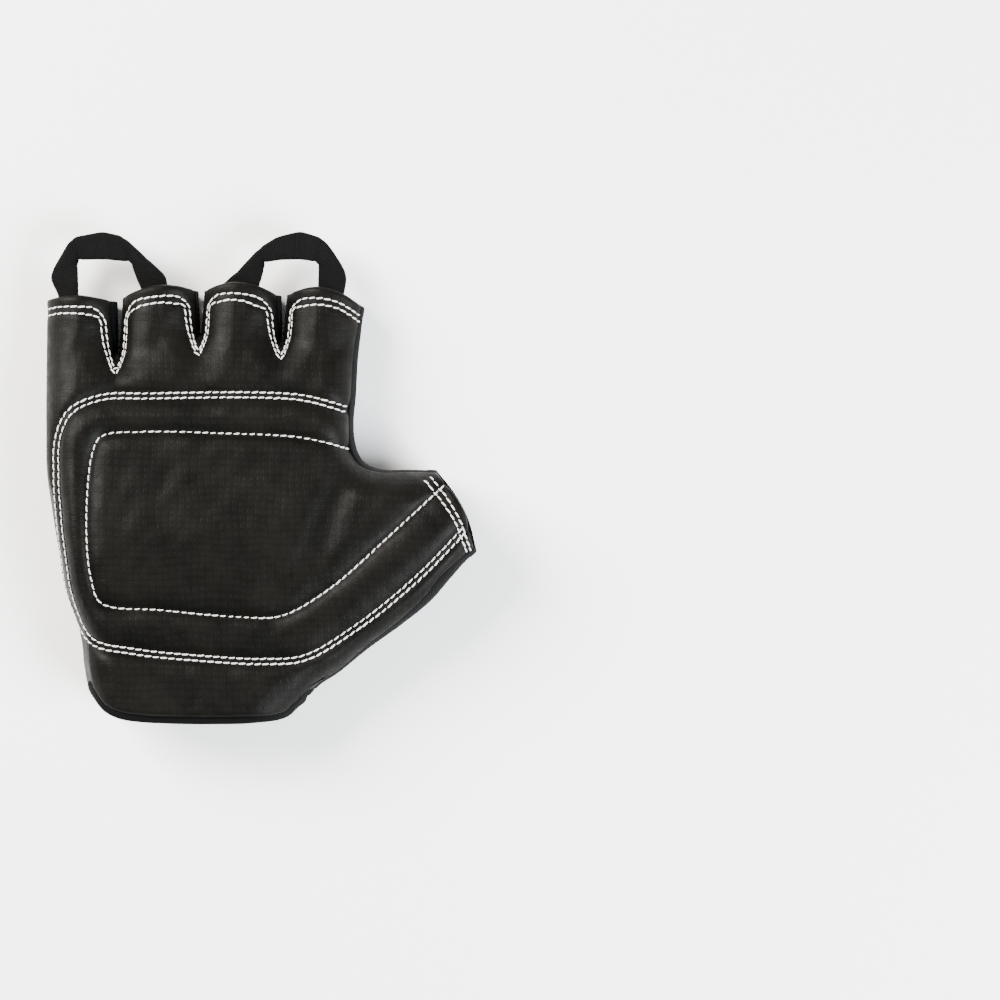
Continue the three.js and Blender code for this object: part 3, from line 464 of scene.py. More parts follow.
    def skin(self, places: np.ndarray, side: Any, depth: Any, near: Optional[Near] = None) -> np.ndarray:
        """Give points at a depth below the glove's outer skin.

        Args:
            places: Places in the plan.
            side: 1 for the palm, -1 for the back, 0 for the side seam, for all or for each.
            depth: Millimetres below the skin, or above it where negative.
            near: The nearest side, where it is known already.

        Returns:
            Points in millimetres of the plan's frame.
        """
        given = near is not None and np.isnan(near.along).all()
        near = near or self.nearest_side(places)
        side = np.broadcast_to(np.asarray(side, float), near.distance.shape)
        half = self.depth_at(places) * np.where(side > 0, 1 - self.seam_share, self.seam_share)
        power = np.where(side > 0, self.palm_fullness, self.back_fullness)
        away = 1 - np.minimum(near.distance / self.edge_round, 1)
        rise = np.where(side == 0, 0, (1 - away**power) ** (1 / power))
        inward = near.inward
        if not given:
            inward = np.where(near.distance[:, None] > 0.01, unit(places - near.foot), near.inward)
        out_flat = np.where(side == 0, 1, away ** (power - 1) / self.edge_round)
        out_up = rise ** (power - 1) / half
        scale = depth / np.hypot(out_flat, out_up)
        z = self.seam_height(places) + np.sign(side) * (self.seam_gap / 2 + half * rise - out_up * scale)
        flat = places + inward * (out_flat * scale)[:, None]
        return np.column_stack([flat, z])

    def spread(self, places: np.ndarray, side: float, near: Near) -> np.ndarray:
        """Unroll places so that a pattern keeps its scale down the glove's sides."""
        power = self.palm_fullness if side > 0 else self.back_fullness
        half = self.palm_depth * (1 - self.seam_share if side > 0 else self.seam_share)
        steps = np.linspace(0, 1, 200) ** 2
        rise = (1 - (1 - steps) ** power) ** (1 / power)
        run = lengths_of(np.column_stack([steps * self.edge_round, rise * half]))
        unrolled = run[-1] - np.interp(near.distance / self.edge_round, steps, run)
        extra = np.maximum(unrolled - np.maximum(self.edge_round - near.distance, 0), 0)
        return places - near.inward * extra[:, None]

    def show(self, rows: Rows, share: np.ndarray) -> np.ndarray:
        """Give the width of knit that shows at a share of a side."""
        at, width = np.array(rows, float).T
        return np.interp(share, at, width)

    def low(self, share: Any, with_knit: bool) -> np.ndarray:
        """Give places along the thumb's lower side, stood back where knit shows."""
        back = self.show(self.knit_show_lower, share) + self.seam_gap
        return self.lower.at(share, back if with_knit else 0.0 * back)

    def up(self, share: Any, with_knit: bool) -> np.ndarray:
        """Give places along the thumb's upper side and the index side."""
        back = self.show(self.knit_show_upper, share) + self.seam_gap
        return self.upper.at(share, back if with_knit else 0.0 * back)

    def cuff_place(self, share: np.ndarray, side: Side, band: float) -> np.ndarray:
        """Give places near the mouth of the cuff, a band above it."""
        mouth = self.cuff.at(share, band)
        if side is Side.BACK:
            mouth[..., 1] += self.back_cuff_rise * self.length * np.sin(np.pi * share)
        return mouth

    def face(self, side: Side, with_knit: bool) -> FaceGrids:
        """Lay out one face of the glove in patches.

        Args:
            side: Which face.
            with_knit: Whether the panel stands back from the thumb side by the knit that shows.

        Returns:
            The patches and the lines along the thumb and index sides.
        """
        band = self.cuff_band + self.seam_gap
        start = band / self.lower.total
        cuff_part = self.low(np.linspace(start, self.root_share, self.cuff_rows + 1)[:-1], with_knit)
        root = self.low(np.array([self.root_share]), with_knit)
        crotch = self.up(np.array([self.crotch_share]), with_knit)
        root_line = mix(root, crotch, eased_shares(self.root_rows)[:, None])
        root_height = self.finger_root * self.length
        knee = float(self.upper.share_of_height(root_height))
        knuckles = self.up(np.linspace(self.crotch_share, knee, self.knuckle_rows + 1)[1:], with_knit)
        right = np.vstack([cuff_part, root_line, knuckles])

        foot_y = self.little.at(np.array([1 - band / self.little.total]))[0, 1]
        t = (right[:, 1] - right[0, 1]) / (right[-1, 1] - right[0, 1])
        left = self.little.at(self.little.share_of_height(mix(foot_y, root_height, t)))
        shares = edge_shares(4 * self.finger_columns, True, True, self.cuff_crowding)
        bottom = self.cuff_place(shares, side, band)
        bottom[0], bottom[-1] = left[0], right[0]

        corners = [left[-1], *(self.notch_side(slot, 1, 0.0) for slot in range(3)), right[-1]]
        shares = [edge_shares(self.finger_columns, finger == 0, finger == 3)[:, None] for finger in range(4)]
        feet = [mix(a, b, part) for a, b, part in zip(corners, corners[1:], shares)]
        top = np.vstack([feet[0], *(foot[1:] for foot in feet[1:])])
        fingers = []
        rows = np.linspace(0, 1, self.finger_rows + 1) ** self.root_crowding
        for finger, (tip_left, _, tip_right) in enumerate(self.finger_tips):
            heights = mix(root_height, np.array([tip_left, tip_right])[:, None] * self.length, rows)
            if finger == 0:
                line_left = self.little.at(self.little.share_of_height(heights[0]))
            else:
                line_left = self.notch_side(finger - 1, 1, rows)
            if finger == 3:
                line_right = self.up(self.upper.share_of_height(heights[1]), with_knit)
            else:
                line_right = self.notch_side(finger, -1, rows)
            line_left[0], line_right[0] = feet[finger][0], feet[finger][-1]
            part = shares[finger]
            head = mix(line_left[-1], line_right[-1], part)
            head[:, 1] += self.tip_bow(finger, part[:, 0])
            fingers.append(coons(feet[finger], head, line_left, line_right))

        low_line = self.low(np.linspace(self.root_share, 1, self.thumb_columns + 1), with_knit)
        up_line = self.up(np.linspace(self.crotch_share, 0, self.thumb_columns + 1), with_knit)
        shares = eased_shares(self.root_rows)
        hem = self.thumb_line.at(shares)
        hem = hem + mix(low_line[-1] - hem[0], up_line[-1] - hem[-1], shares[:, None])
        return FaceGrids(coons(bottom, top, left, right), fingers, coons(low_line, up_line, root_line, hem),
                         right, low_line, up_line)


def grid_quads(rows: int, columns: int, closed: bool = False) -> np.ndarray:
    """Give the quads of a grid of points that are counted row by row.

    Args:
        rows: How many rows of points there are.
        columns: How many points a row has.
        closed: Whether the last row joins the first one.

    Returns:
        The quads.
    """
    index = np.arange(rows * columns).reshape(rows, columns)
    after = np.roll(index, -1, axis=0)
    if not closed:
        index, after = index[:-1], after[:-1]
    return np.stack([index[:, :-1], index[:, 1:], after[:, 1:], after[:, :-1]], axis=-1).reshape(-1, 4)


class Cloth:
    """Quads over shared places of the plan, from patches that are welded along their borders."""

    def __init__(self) -> None:
        """Start with no patches."""
        self.patches: list[tuple[np.ndarray, np.ndarray, bool]] = []

    def add(self, grid: np.ndarray, side: Any, flip: bool = False) -> None:
        """Add a patch.

        Args:
            grid: Places by row and column.
            side: 1 for the palm or -1 for the back, for all or for each column.
            flip: Whether the patch faces the other way.
        """
        self.patches.append((grid, np.broadcast_to(np.asarray(side, float), grid.shape[:2]), flip))

    def weld(self) -> tuple[np.ndarray, np.ndarray, np.ndarray]:
        """Join the patches.

        Returns:
            The places, the side of each, and the quads.
        """
        places = np.vstack([grid.reshape(-1, 2) for grid, _, _ in self.patches])
        sides = np.concatenate([side.ravel() for _, side, _ in self.patches])
        quads, start = [], 0
        for grid, _, flip in self.patches:
            quad = start + grid_quads(*grid.shape[:2])
            quads.append(quad[:, ::-1] if flip else quad)
            start += grid.shape[0] * grid.shape[1]
        keys = np.column_stack([np.round(places, 4), sides])
        _, first, inverse = np.unique(keys, axis=0, return_index=True, return_inverse=True)
        return places[first], sides[first], inverse.ravel()[np.vstack(quads)]


def normals_of(points: np.ndarray, quads: np.ndarray) -> np.ndarray:
    """Give each point's normal from the quads around it."""
    a, b, c, d = (points[quads[:, k]] for k in range(4))
    face = np.cross(c - a, d - b)
    total = np.zeros_like(points)
    for k in range(4):
        np.add.at(total, quads[:, k], face)
    return unit(total)


class Body(NamedTuple):
    """A closed mesh: its points, its quads, the finish of each quad, and the place behind each point."""

    points: np.ndarray
    quads: np.ndarray
    finish: np.ndarray
    source: np.ndarray


def plain_body(points: np.ndarray, quads: np.ndarray) -> Body:
    """Give a mesh of one finish, whose points are places of their own."""
    return Body(points, quads, np.zeros(len(quads), int), np.arange(len(points)))


def thicken(outer: np.ndarray, inner: np.ndarray, quads: np.ndarray,
            fold: float = 0.6, steps: int = 4) -> Body:
    """Close the space between two skins with a rim that is rounded like a folded edge.

    Args:
        outer: The outer skin's points.
        inner: The inner skin's points.
        quads: The quads that both share, facing out.
        fold: How far the rim swells, as a share of half the thickness.
        steps: How many strips the rim has.

    Returns:
        The body, with finish 0 outside and on the rim, and 1 inside.
    """
    count = len(outer)
    start, end = (np.roll(quads, shift, axis=1).T.ravel() for shift in (0, -1))
    forward = start.astype(np.int64) * count + end
    lone = ~np.isin(end.astype(np.int64) * count + start, forward)
    start, end = start[lone], end[lone]
    ahead = np.zeros(count, np.int64)
    behind = np.zeros(count, np.int64)
    ahead[start], behind[end] = end, start
    rim = np.unique(start)
    half = (outer[rim] - inner[rim]) / 2
    tangent = unit(outer[ahead[rim]] - outer[behind[rim]])
    swell = np.cross(tangent, half) * fold
    layers = [outer, inner]
    slot = np.zeros(count, np.int64)
    slot[rim] = np.arange(len(rim))
    lines = [np.arange(count)]
    for step in range(1, steps):
        turn = math.pi * step / steps
        layers.append((outer[rim] + inner[rim]) / 2 + half * math.cos(turn) + swell * math.sin(turn))
        lines.append(2 * count + (step - 1) * len(rim) + slot)
    lines.append(count + np.arange(count))
    strips = [np.stack([end_line[start], end_line[end], line[end], line[start]], axis=1)
              for line, end_line in zip(lines, lines[1:])]
    all_quads = np.vstack([quads, count + quads[:, ::-1], *strips])
    finish = np.repeat([0, 1, 0], [len(quads), len(quads), len(start) * steps])
    every = np.arange(count)
    source = np.concatenate([every, every, *[rim] * (steps - 1)])
    return Body(np.vstack(layers), all_quads, finish, source)


def make_piece(name: str, body: Body, finishes: Sequence[bpy.types.Material],
               marks: Optional[dict[str, np.ndarray]] = None) -> bpy.types.Object:
    """Make a smooth object of the scene.

    Args:
        name: The piece's name.
        body: Its mesh, with points in metres.
        finishes: The materials that the body's finish numbers stand for.
        marks: Numbers or vectors for each place, which the materials read by name.

    Returns:
        The object.
    """
    mesh = bpy.data.meshes.new(name)
    mesh.from_pydata(body.points.tolist(), [], body.quads.tolist())
    for material in finishes:
        mesh.materials.append(material)
    slots = np.clip(body.finish, 0, max(len(finishes) - 1, 0))
    mesh.polygons.foreach_set("material_index", slots.astype(np.int32))
    mesh.polygons.foreach_set("use_smooth", np.ones(len(body.quads), bool))
    for mark, of_places in (marks or {}).items():
        values = of_places[body.source]
        kind, slot = ("FLOAT_VECTOR", "vector") if values.ndim == 2 else ("FLOAT", "value")
        layer = mesh.attributes.new(mark, kind, "POINT")
        layer.data.foreach_set(slot, values.astype(np.float32).ravel())
    mesh.update()
    piece = bpy.data.objects.new(name, mesh)
    bpy.context.collection.objects.link(piece)
    return piece


def cut_slit(form: GloveForm, piece: bpy.types.Object, wall: float) -> None:
    """Cut the slit of the back through a piece.

    Args:
        form: The glove's shape.
        piece: What is cut.
        wall: The thickness of the back's cloth in millimetres.
    """
    line = form.across(form.slit)
    aside = Edge(line).normals * form.slit_width / 2
    top = float(form.seam_height(line[1:2])[0]) - wall
    corners = [np.column_stack([line + hand * aside, np.full(len(line), height)])
               for hand, height in ((-1, -2 * wall), (1, -2 * wall), (1, top), (-1, top))]
    points = np.stack([*corners, corners[0]], axis=1)
    around = grid_quads(len(line), 5)
    around = np.where(around % 5 == 4, around - 4, around)
    last = 5 * (len(line) - 1)
    quads = np.vstack([around, [[3, 2, 1, 0]], [[last, last + 1, last + 2, last + 3]]])
    tool = make_piece("slit_tool", plain_body(form.to_frame(points.reshape(-1, 3)), quads), [])
    cut = piece.modifiers.new("slit", "BOOLEAN")
    cut.object, cut.operation, cut.solver = tool, "DIFFERENCE", "EXACT"
    scene = bpy.context.evaluated_depsgraph_get()
    mesh = bpy.data.meshes.new_from_object(piece.evaluated_get(scene))
    piece.modifiers.clear()
    piece.data = mesh
    bpy.data.objects.remove(tool)


def linear(colour: str) -> tuple[float, float, float, float]:
    """Turn an sRGB hex colour into linear values with full alpha."""
    parts = [int(colour[k:k + 2], 16) / 255 for k in (1, 3, 5)]
    return (*(c / 12.92 if c <= 0.04045 else ((c + 0.055) / 1.055) ** 2.4 for c in parts), 1.0)


class Recipe:
    """A material's nodes while it is being made."""

    def __init__(self, name: str) -> None:
        """Start an empty material."""
        self.material = bpy.data.materials.new(name)
        self.material.use_nodes = True
        self.tree = self.material.node_tree
        self.tree.nodes.clear()

    def add(self, kind: str, links: Optional[dict[Any, Any]] = None, **settings: Any) -> bpy.types.Node:
        """Add a node with its settings and what goes into it.

        Args:
            kind: The node's type, without the words ShaderNode.
            links: A number, colour or output socket for each input, by name or place.
            settings: The node's own settings.

        Returns:
            The node.
        """
        node = self.tree.nodes.new("ShaderNode" + kind)
        for key, value in settings.items():
            setattr(node, key, value)
        for key, value in (links or {}).items():
            if isinstance(value, bpy.types.NodeSocket):
                self.tree.links.new(value, node.inputs[key])
            else:
                node.inputs[key].default_value = value
        return node

    def mark(self, name: str, output: str = "Vector") -> Socket:
        """Read one of the mesh's marks."""
        return self.add("Attribute", attribute_name=name).outputs[output]

    def noise(self, place: Socket, per_mm: float, detail: float, **links: float) -> Socket:
        """Draw cloudy noise with so many clouds to a millimetre, and give its strength."""
        return self.add("TexNoise", {"Vector": place, "Scale": per_mm, "Detail": detail, **links}).outputs[0]

    def wave(self, place: Socket, pitch_mm: float, bands: str, links: dict[str, float]) -> Socket:
        """Draw bands that are a pitch apart, and give their height.

        Args:
            place: Where on the cloth, in millimetres.
            pitch_mm: How far apart the bands are.
            bands: The direction that they follow each other in.
            links: Numbers for the texture's other inputs.

        Returns:
            The height, from 0 to 1.
        """
        scale = 1 / pitch_mm / WAVES_TO_A_UNIT
        return self.add("TexWave", {"Vector": place, "Scale": scale, **links}, bands_direction=bands).outputs[1]

    def math(self, operation: str, *values: Any, clamp: bool = False) -> Socket:
        """Calculate with numbers."""
        return self.add("Math", dict(enumerate(values)), operation=operation, use_clamp=clamp).outputs[0]

    def vector(self, operation: str, *values: Any) -> Socket:
        """Calculate with vectors."""
        return self.add("VectorMath", dict(enumerate(values)), operation=operation).outputs[0]

    def span(self, value: Socket, source: Span, goal: Span = (0.0, 1.0), ease: str = "LINEAR") -> Socket:
        """Carry a number from one span of values to another, with its ends held."""
        links = {"Value": value, "From Min": source[0], "From Max": source[1], "To Min": goal[0], "To Max": goal[1]}
        return self.add("MapRange", links, interpolation_type=ease).outputs[0]

    def blend(self, share: Socket, start: Any, end: Any) -> Socket:
        """Mix two colours, each an sRGB hex or an output socket."""
        first, last = (linear(colour) if isinstance(colour, str) else colour for colour in (start, end))
        return self.add("Mix", {"Factor": share, 6: first, 7: last}, data_type="RGBA").outputs[2]

    def bump(self, height: Socket, strength: float, depth_mm: float, under: Optional[Socket] = None) -> Socket:
        """Raise a relief, over the one under it where there is one."""
        links = {"Strength": strength, "Distance": depth_mm * MM, "Height": height}
        if under is not None:
            links["Normal"] = under
        return self.add("Bump", links).outputs[0]

    def surface(self, colour: Any, roughness: Any, looks: dict[str, Any]) -> bpy.types.Material:
        """Send a surface to the output and give the material."""
        links = {"Base Color": colour, "Roughness": roughness, **looks}
        self.add("OutputMaterial", {"Surface": self.add("BsdfPrincipled", links).outputs[0]})
        return self.material


class Finish:
    """What all finishes share."""

    def material(self) -> bpy.types.Material:
        """Make the material."""
        raise NotImplementedError


@dataclass(frozen=True)
class EmbossedLeather(Finish):
    """Coated synthetic leather with a pressed grid of small raised squares.

    The eye gets a near-black warm skin whose soft sheen breaks up in small points on the
    squares and lies broad on the padding.
    """

    dark: str = "#040403"
    # The lighter colour serves both random tone and a painted highlight on the raised squares.
    worn_and_highlit: str = "#0a0907"
    pitch_mm: float = 2.5
    # From the middle of a square outwards, in shares of the pitch: where its ring rises, and
    # where its rim falls.
    ring: Span = (0.09, 0.18)
    rim: Span = (0.23, 0.32)
    corner: float = 0.12
    drift_mm: float = 14.0
    drift_reach_mm: float = 4.0
    grain_mm: float = 0.55
    roughness: Span = (0.43, 0.58)
    shine: float = 0.055

    def emboss(self, r: Recipe, place: Socket) -> Socket:
        """Draw the pressed squares, in rows that drift a little from straight."""
        drift = r.add("TexNoise", {"Vector": place, "Scale": 1 / self.drift_mm, "Detail": 1.0}).outputs["Color"]
        bend = r.vector("SUBTRACT", drift, (0.5, 0.5, 0.5))
        moved = r.vector("MULTIPLY_ADD", bend, (self.drift_reach_mm, self.drift_reach_mm, 0), place)
        cells = r.vector("MULTIPLY", moved, (1 / self.pitch_mm,) * 3)
        centred = r.vector("SUBTRACT", r.vector("FRACTION", cells), (0.5, 0.5, 0.5))
        axes = r.add("SeparateXYZ", {0: r.vector("ABSOLUTE", centred)}).outputs
        square = r.math("SMOOTH_MAX", axes[0], axes[1], self.corner)
        ring = r.span(square, self.ring, ease="SMOOTHSTEP")
        rim = r.span(square, self.rim, (1.0, 0.0), ease="SMOOTHSTEP")
        return r.math("MULTIPLY", r.math("MULTIPLY_ADD", ring, 0.55, 0.45), rim)

    def material(self) -> bpy.types.Material:
        """Make the material."""
        r = Recipe("embossed_synthetic_leather")
        place = r.mark("cloth_mm")
        pressed = self.emboss(r, place)
        grain = r.add("TexVoronoi", {"Vector": place, "Scale": 1 / self.grain_mm}, feature="SMOOTH_F1").outputs[0]
        creases = r.noise(place, 0.22, 3.0, Roughness=0.55)
        tone = r.span(r.noise(place, 0.05, 2.0), (0.35, 0.7))
        # The raised squares are painted lighter: a painted highlight on their tops, over random tone from the
        # noise.
        colour = r.blend(r.math("MULTIPLY_ADD", pressed, 0.35, tone), self.dark, self.worn_and_highlit)
        gloss = r.span(creases, (0.3, 0.7), self.roughness)
        folds = r.bump(creases, 0.4, 0.4)
        pores = r.bump(grain, 0.2, 0.08, folds)
        stamp = r.bump(pressed, 0.4, 0.1, pores)
        return r.surface(colour, gloss, {"Normal": stamp, "Specular IOR Level": self.shine})


@dataclass(frozen=True)
class SpacerMesh(Finish):
    """Polyester spacer mesh, warp knitted with rows of open dents.

    The eye gets a matt dark grey face of fine yarns with nearly black dents in it.
    """

    face: str = "#0c0c0c"
    # The gap colour is painted shade between the yarns, and the dent colour is painted shade in the dents.
    gap: str = "#060606"
    dent_shade: str = "#020202"
    yarn_mm: float = 0.7
    whip_mm: float = 0.893
    roughness: float = 0.85

    def material(self) -> bpy.types.Material:
        """Make the material. Real yarns are 0.3 mm apart, and are drawn at 0.7 mm so that they show."""
        r = Recipe("polyester_spacer_mesh")
        place = r.mark("cloth_mm")
        wales = r.wave(place, self.yarn_mm, "X", {"Distortion": 2.0, "Detail": 1.0, "Detail Scale": 1.5})
        courses = r.wave(place, self.yarn_mm, "Y", {"Distortion": 2.0})
        yarn = r.math("MULTIPLY", wales, courses)
        whip = r.wave(place, self.whip_mm, "X", {"Distortion": 0.4})
        relief = r.add("Mix", {"Factor": r.mark("hem", "Fac"), 2: yarn, 3: whip}, data_type="FLOAT").outputs[0]
        # Yarn valleys and the grooves of the whipped hems are painted darker: painted shade, with random tone from
        # the noise.
        shade = r.math("MULTIPLY_ADD", relief, 0.5, r.noise(place, 2.5, 2.0), clamp=True)
        body = r.blend(shade, self.gap, self.face)
        # The dents are painted nearly black: painted shade in the hollows.
        colour = r.blend(r.mark("hollow", "Fac"), body, self.dent_shade)
        looks = {"Sheen Weight": 0.02, "Specular IOR Level": 0.05, "Normal": r.bump(relief, 0.6, 0.25)}
        return r.surface(colour, self.roughness, looks)


@dataclass(frozen=True)
class StretchKnit(Finish):
    """Black polyester and elastane jersey, weft knitted.

    The eye gets a soft black with fine ribs and a faint bloom at grazing angles.
    """

    name: str = "polyester_elastane_jersey"
    shade: str = "#030303"
    light: str = "#080808"
    rib_mm: float = 1.1
    roughness: float = 0.9

    def material(self) -> bpy.types.Material:
        """Make the material. Real ribs are 0.6 mm apart, and are drawn wider so that they show."""
        r = Recipe(self.name)
        place = r.mark("cloth_mm")
        ribs = r.wave(place, self.rib_mm, "X", {"Distortion": 1.2, "Detail": 1.0})
        height = r.math("MULTIPLY_ADD", r.noise(place, 3.0, 3.0), 0.5, ribs)
        # Rib tops are painted lighter and the valleys darker: painted light and shade, with random tone from the
        # noise.
        colour = r.blend(r.math("MULTIPLY", height, 0.7, clamp=True), self.shade, self.light)
        looks = {"Sheen Weight": 0.02, "Specular IOR Level": 0.04, "Normal": r.bump(height, 0.5, 0.2)}
        return r.surface(colour, self.roughness, looks)


@dataclass(frozen=True)
class WovenTape(Finish):
    """Nylon grosgrain: webbing or binding tape woven with ribs across it.

    The eye gets close dark ribs that catch a soft satin line of light each.
    """

    name: str
    rib_mm: float
    shade: str = "#040404"
    light: str = "#0b0b0b"
    yarn_mm: float = 0.5
    roughness: float = 0.75

    def material(self) -> bpy.types.Material:
        """Make the material. Along is the mark's first axis, so the ribs run across the tape."""
        r = Recipe(self.name)
        place = r.mark("cloth_mm")
        ribs = r.wave(place, self.rib_mm, "X", {"Distortion": 0.6, "Detail": 1.0, "Detail Scale": 0.6})
        yarns = r.wave(place, self.yarn_mm, "Y", {"Distortion": 1.0})
        height = r.math("MULTIPLY_ADD", yarns, 0.2, ribs)
        # Random noise that breaks up the painted rib highlight.
        highlight_breakup = r.noise(place, 0.4, 3.0)
        # Rib tops are painted lighter and the grooves darker: painted highlight and painted shade.
        colour = r.blend(r.math("MULTIPLY", height, highlight_breakup, clamp=True), self.shade, self.light)
        return r.surface(colour, self.roughness, {"Specular IOR Level": 0.05, "Normal": r.bump(height, 0.8, 0.25)})


@dataclass(frozen=True)
class MouldedRubber(Finish):
    """Thermoplastic rubber, moulded and left bare.

    The eye gets an even charcoal grey with a satin skin and very fine grain.
    """

    shade: str = "#0a0a0a"
    light: str = "#0d0d0d"
    roughness: Span = (0.38, 0.52)

    def material(self) -> bpy.types.Material:
        """Make the material."""
        r = Recipe("moulded_thermoplastic_rubber")
        place = r.mark("cloth_mm")
        grain = r.noise(place, 2.2, 4.0)
        colour = r.blend(r.noise(place, 0.08, 2.0), self.shade, self.light)
        gloss = r.span(grain, (0.0, 1.0), self.roughness)
        return r.surface(colour, gloss, {"Normal": r.bump(grain, 0.3, 0.08)})


@dataclass(frozen=True)
class SpunThread(Finish):
    """Bonded polyester sewing thread of three twisted plies.

    The eye gets small bright ropes with a darker line where the plies meet.
    """

    name: str
    light: str
    shade: str
    ply_mm: float = 0.45
    roughness: float = 0.6

    def material(self) -> bpy.types.Material:
        """Make the material."""
        r = Recipe(self.name)
        plies = r.wave(r.mark("cloth_mm"), self.ply_mm, "DIAGONAL", {"Distortion": 0.3})
        # Ply tops are painted lighter and the grooves between plies darker: painted highlight and painted shade.
        colour = r.blend(plies, self.shade, self.light)
        return r.surface(colour, self.roughness, {"Sheen Weight": 0.2, "Normal": r.bump(plies, 0.6, 0.1)})


@dataclass(frozen=True)
class PaintedFloor(Finish):
    """A studio table of smooth board in matt white paint, which gives the eye no detail."""

    shade: str = "#f7f7f7"
    roughness: float = 0.9

    def material(self) -> bpy.types.Material:
        """Make the material."""
        return Recipe("matt_white_painted_board").surface(linear(self.shade), self.roughness, {})


@dataclass
class Finishes:
    """The glove's materials, made once."""

    leather: bpy.types.Material = field(default_factory=lambda: EmbossedLeather().material())
    mesh: bpy.types.Material = field(default_factory=lambda: SpacerMesh().material())
    knit: bpy.types.Material = field(default_factory=lambda: StretchKnit().material())
    gusset: bpy.types.Material = field(default_factory=lambda: StretchKnit(
        "smooth_elastane_jersey", "#020202", "#050505", 0.8, 0.75).material())
    lining: bpy.types.Material = field(default_factory=lambda: StretchKnit(
        "brushed_tricot_lining", "#050505", "#0b0b0b", 1.4, 0.95).material())
    tape: bpy.types.Material = field(default_factory=lambda: WovenTape("nylon_binding_tape", 0.8).material())
    webbing: bpy.types.Material = field(default_factory=lambda: WovenTape(
        "nylon_grosgrain_webbing", 0.85).material())
    rubber: bpy.types.Material = field(default_factory=lambda: MouldedRubber().material())
    white_thread: bpy.types.Material = field(default_factory=lambda: SpunThread(
        "white_polyester_thread", "#e3e1df", "#a9a6a3").material())
    black_thread: bpy.types.Material = field(default_factory=lambda: SpunThread(
        "black_polyester_thread", "#1d1d1e", "#0b0b0c").material())


@dataclass
class Stitching:
    """Stitches of one thread: how long, how far apart and how thick, in millimetres."""

    pitch: float = 2.8
    stitch: float = 2.45
    thread: float = 0.6
    slant: float = 7.0
    arch: float = 0.2
    sit: float = 0.1
    look_ahead: float = 0.8
    # The thread's height by its width, how far its ends draw in, and how much stitches differ
    # in slant and in size.
    flatness: float = 0.8
    end_taper: float = 0.97
    slant_spread: float = 0.35
    size_spread: float = 0.05
    rings: int = 7
    around: int = 8

    def sew(self, rows: Sequence[tuple[np.ndarray, np.ndarray]], seed: int) -> tuple[Body, np.ndarray]:
        """Lay stitches along rows.

        Args:
            rows: The points of each row on the cloth, and the cloth's normal at each.
            seed: Where the small differences between stitches start from.

        Returns:
            The stitches as one mesh, and the thread's own lengthwise and crosswise distances.
        """
        rng = np.random.default_rng(seed)
        along = np.linspace(-1, 1, self.rings)
        turn = np.linspace(0, 2 * np.pi, self.around, endpoint=False)
        girth = self.thread / 2 * np.sqrt(1 - (along * self.end_taper) ** 4)
        x = np.repeat(along * self.stitch / 2, self.around)
        y = (girth[:, None] * np.cos(turn)).ravel()
        height = self.arch * (1 - along**2) + self.sit
        z = (girth[:, None] * np.sin(turn) * self.flatness).ravel() + np.repeat(height, self.around)
        index = np.arange(self.rings * self.around).reshape(self.rings, self.around)
        a, b = index, np.roll(index, -1, axis=1)
        tube = np.stack([a[:-1], b[:-1], b[1:], a[1:]], axis=-1).reshape(-1, 4)
        ends = [[row[k], row[k + 1], row[self.around - 2 - k], row[self.around - 1 - k]]
                for row in (index[0][::-1], index[-1]) for k in range(self.around // 2 - 1)]
        quads = np.vstack([tube, ends])
        points, faces, marks = [], [], []
        for line, normals in rows:
            run = lengths_of(line)
            count = max(int(run[-1] // self.pitch), 1)
            goal = (np.arange(count) + 0.5) * run[-1] / count
            centre, up = read_off(goal, run, line), read_off(goal, run, normals)
            before, after = (read_off(goal + step, run, line) for step in (-self.look_ahead, self.look_ahead))
            ahead = unit(after - before)
            up = unit(up - ahead * (up * ahead).sum(axis=1, keepdims=True))
            aside = np.cross(up, ahead)
            lean = np.radians(self.slant * (1 + self.slant_spread * rng.standard_normal(count)))[:, None]
            along_it = ahead * np.cos(lean) + aside * np.sin(lean)
            across_it = aside * np.cos(lean) - ahead * np.sin(lean)
            size = 1 + self.size_spread * rng.standard_normal((count, 1, 1))
            flat = along_it[:, None] * x[:, None] + across_it[:, None] * y[:, None]
            body = centre[:, None] + size * flat + up[:, None] * z[:, None]
            start = sum(len(block) for block in points)
            points.append(body.reshape(-1, 3))
            faces.append((quads[None] + np.arange(count)[:, None, None] * len(x) + start).reshape(-1, 4))
            marks.append(np.tile(np.column_stack([x, y, z]), (count, 1)))
        return plain_body(np.vstack(points), np.vstack(faces)), np.vstack(marks)


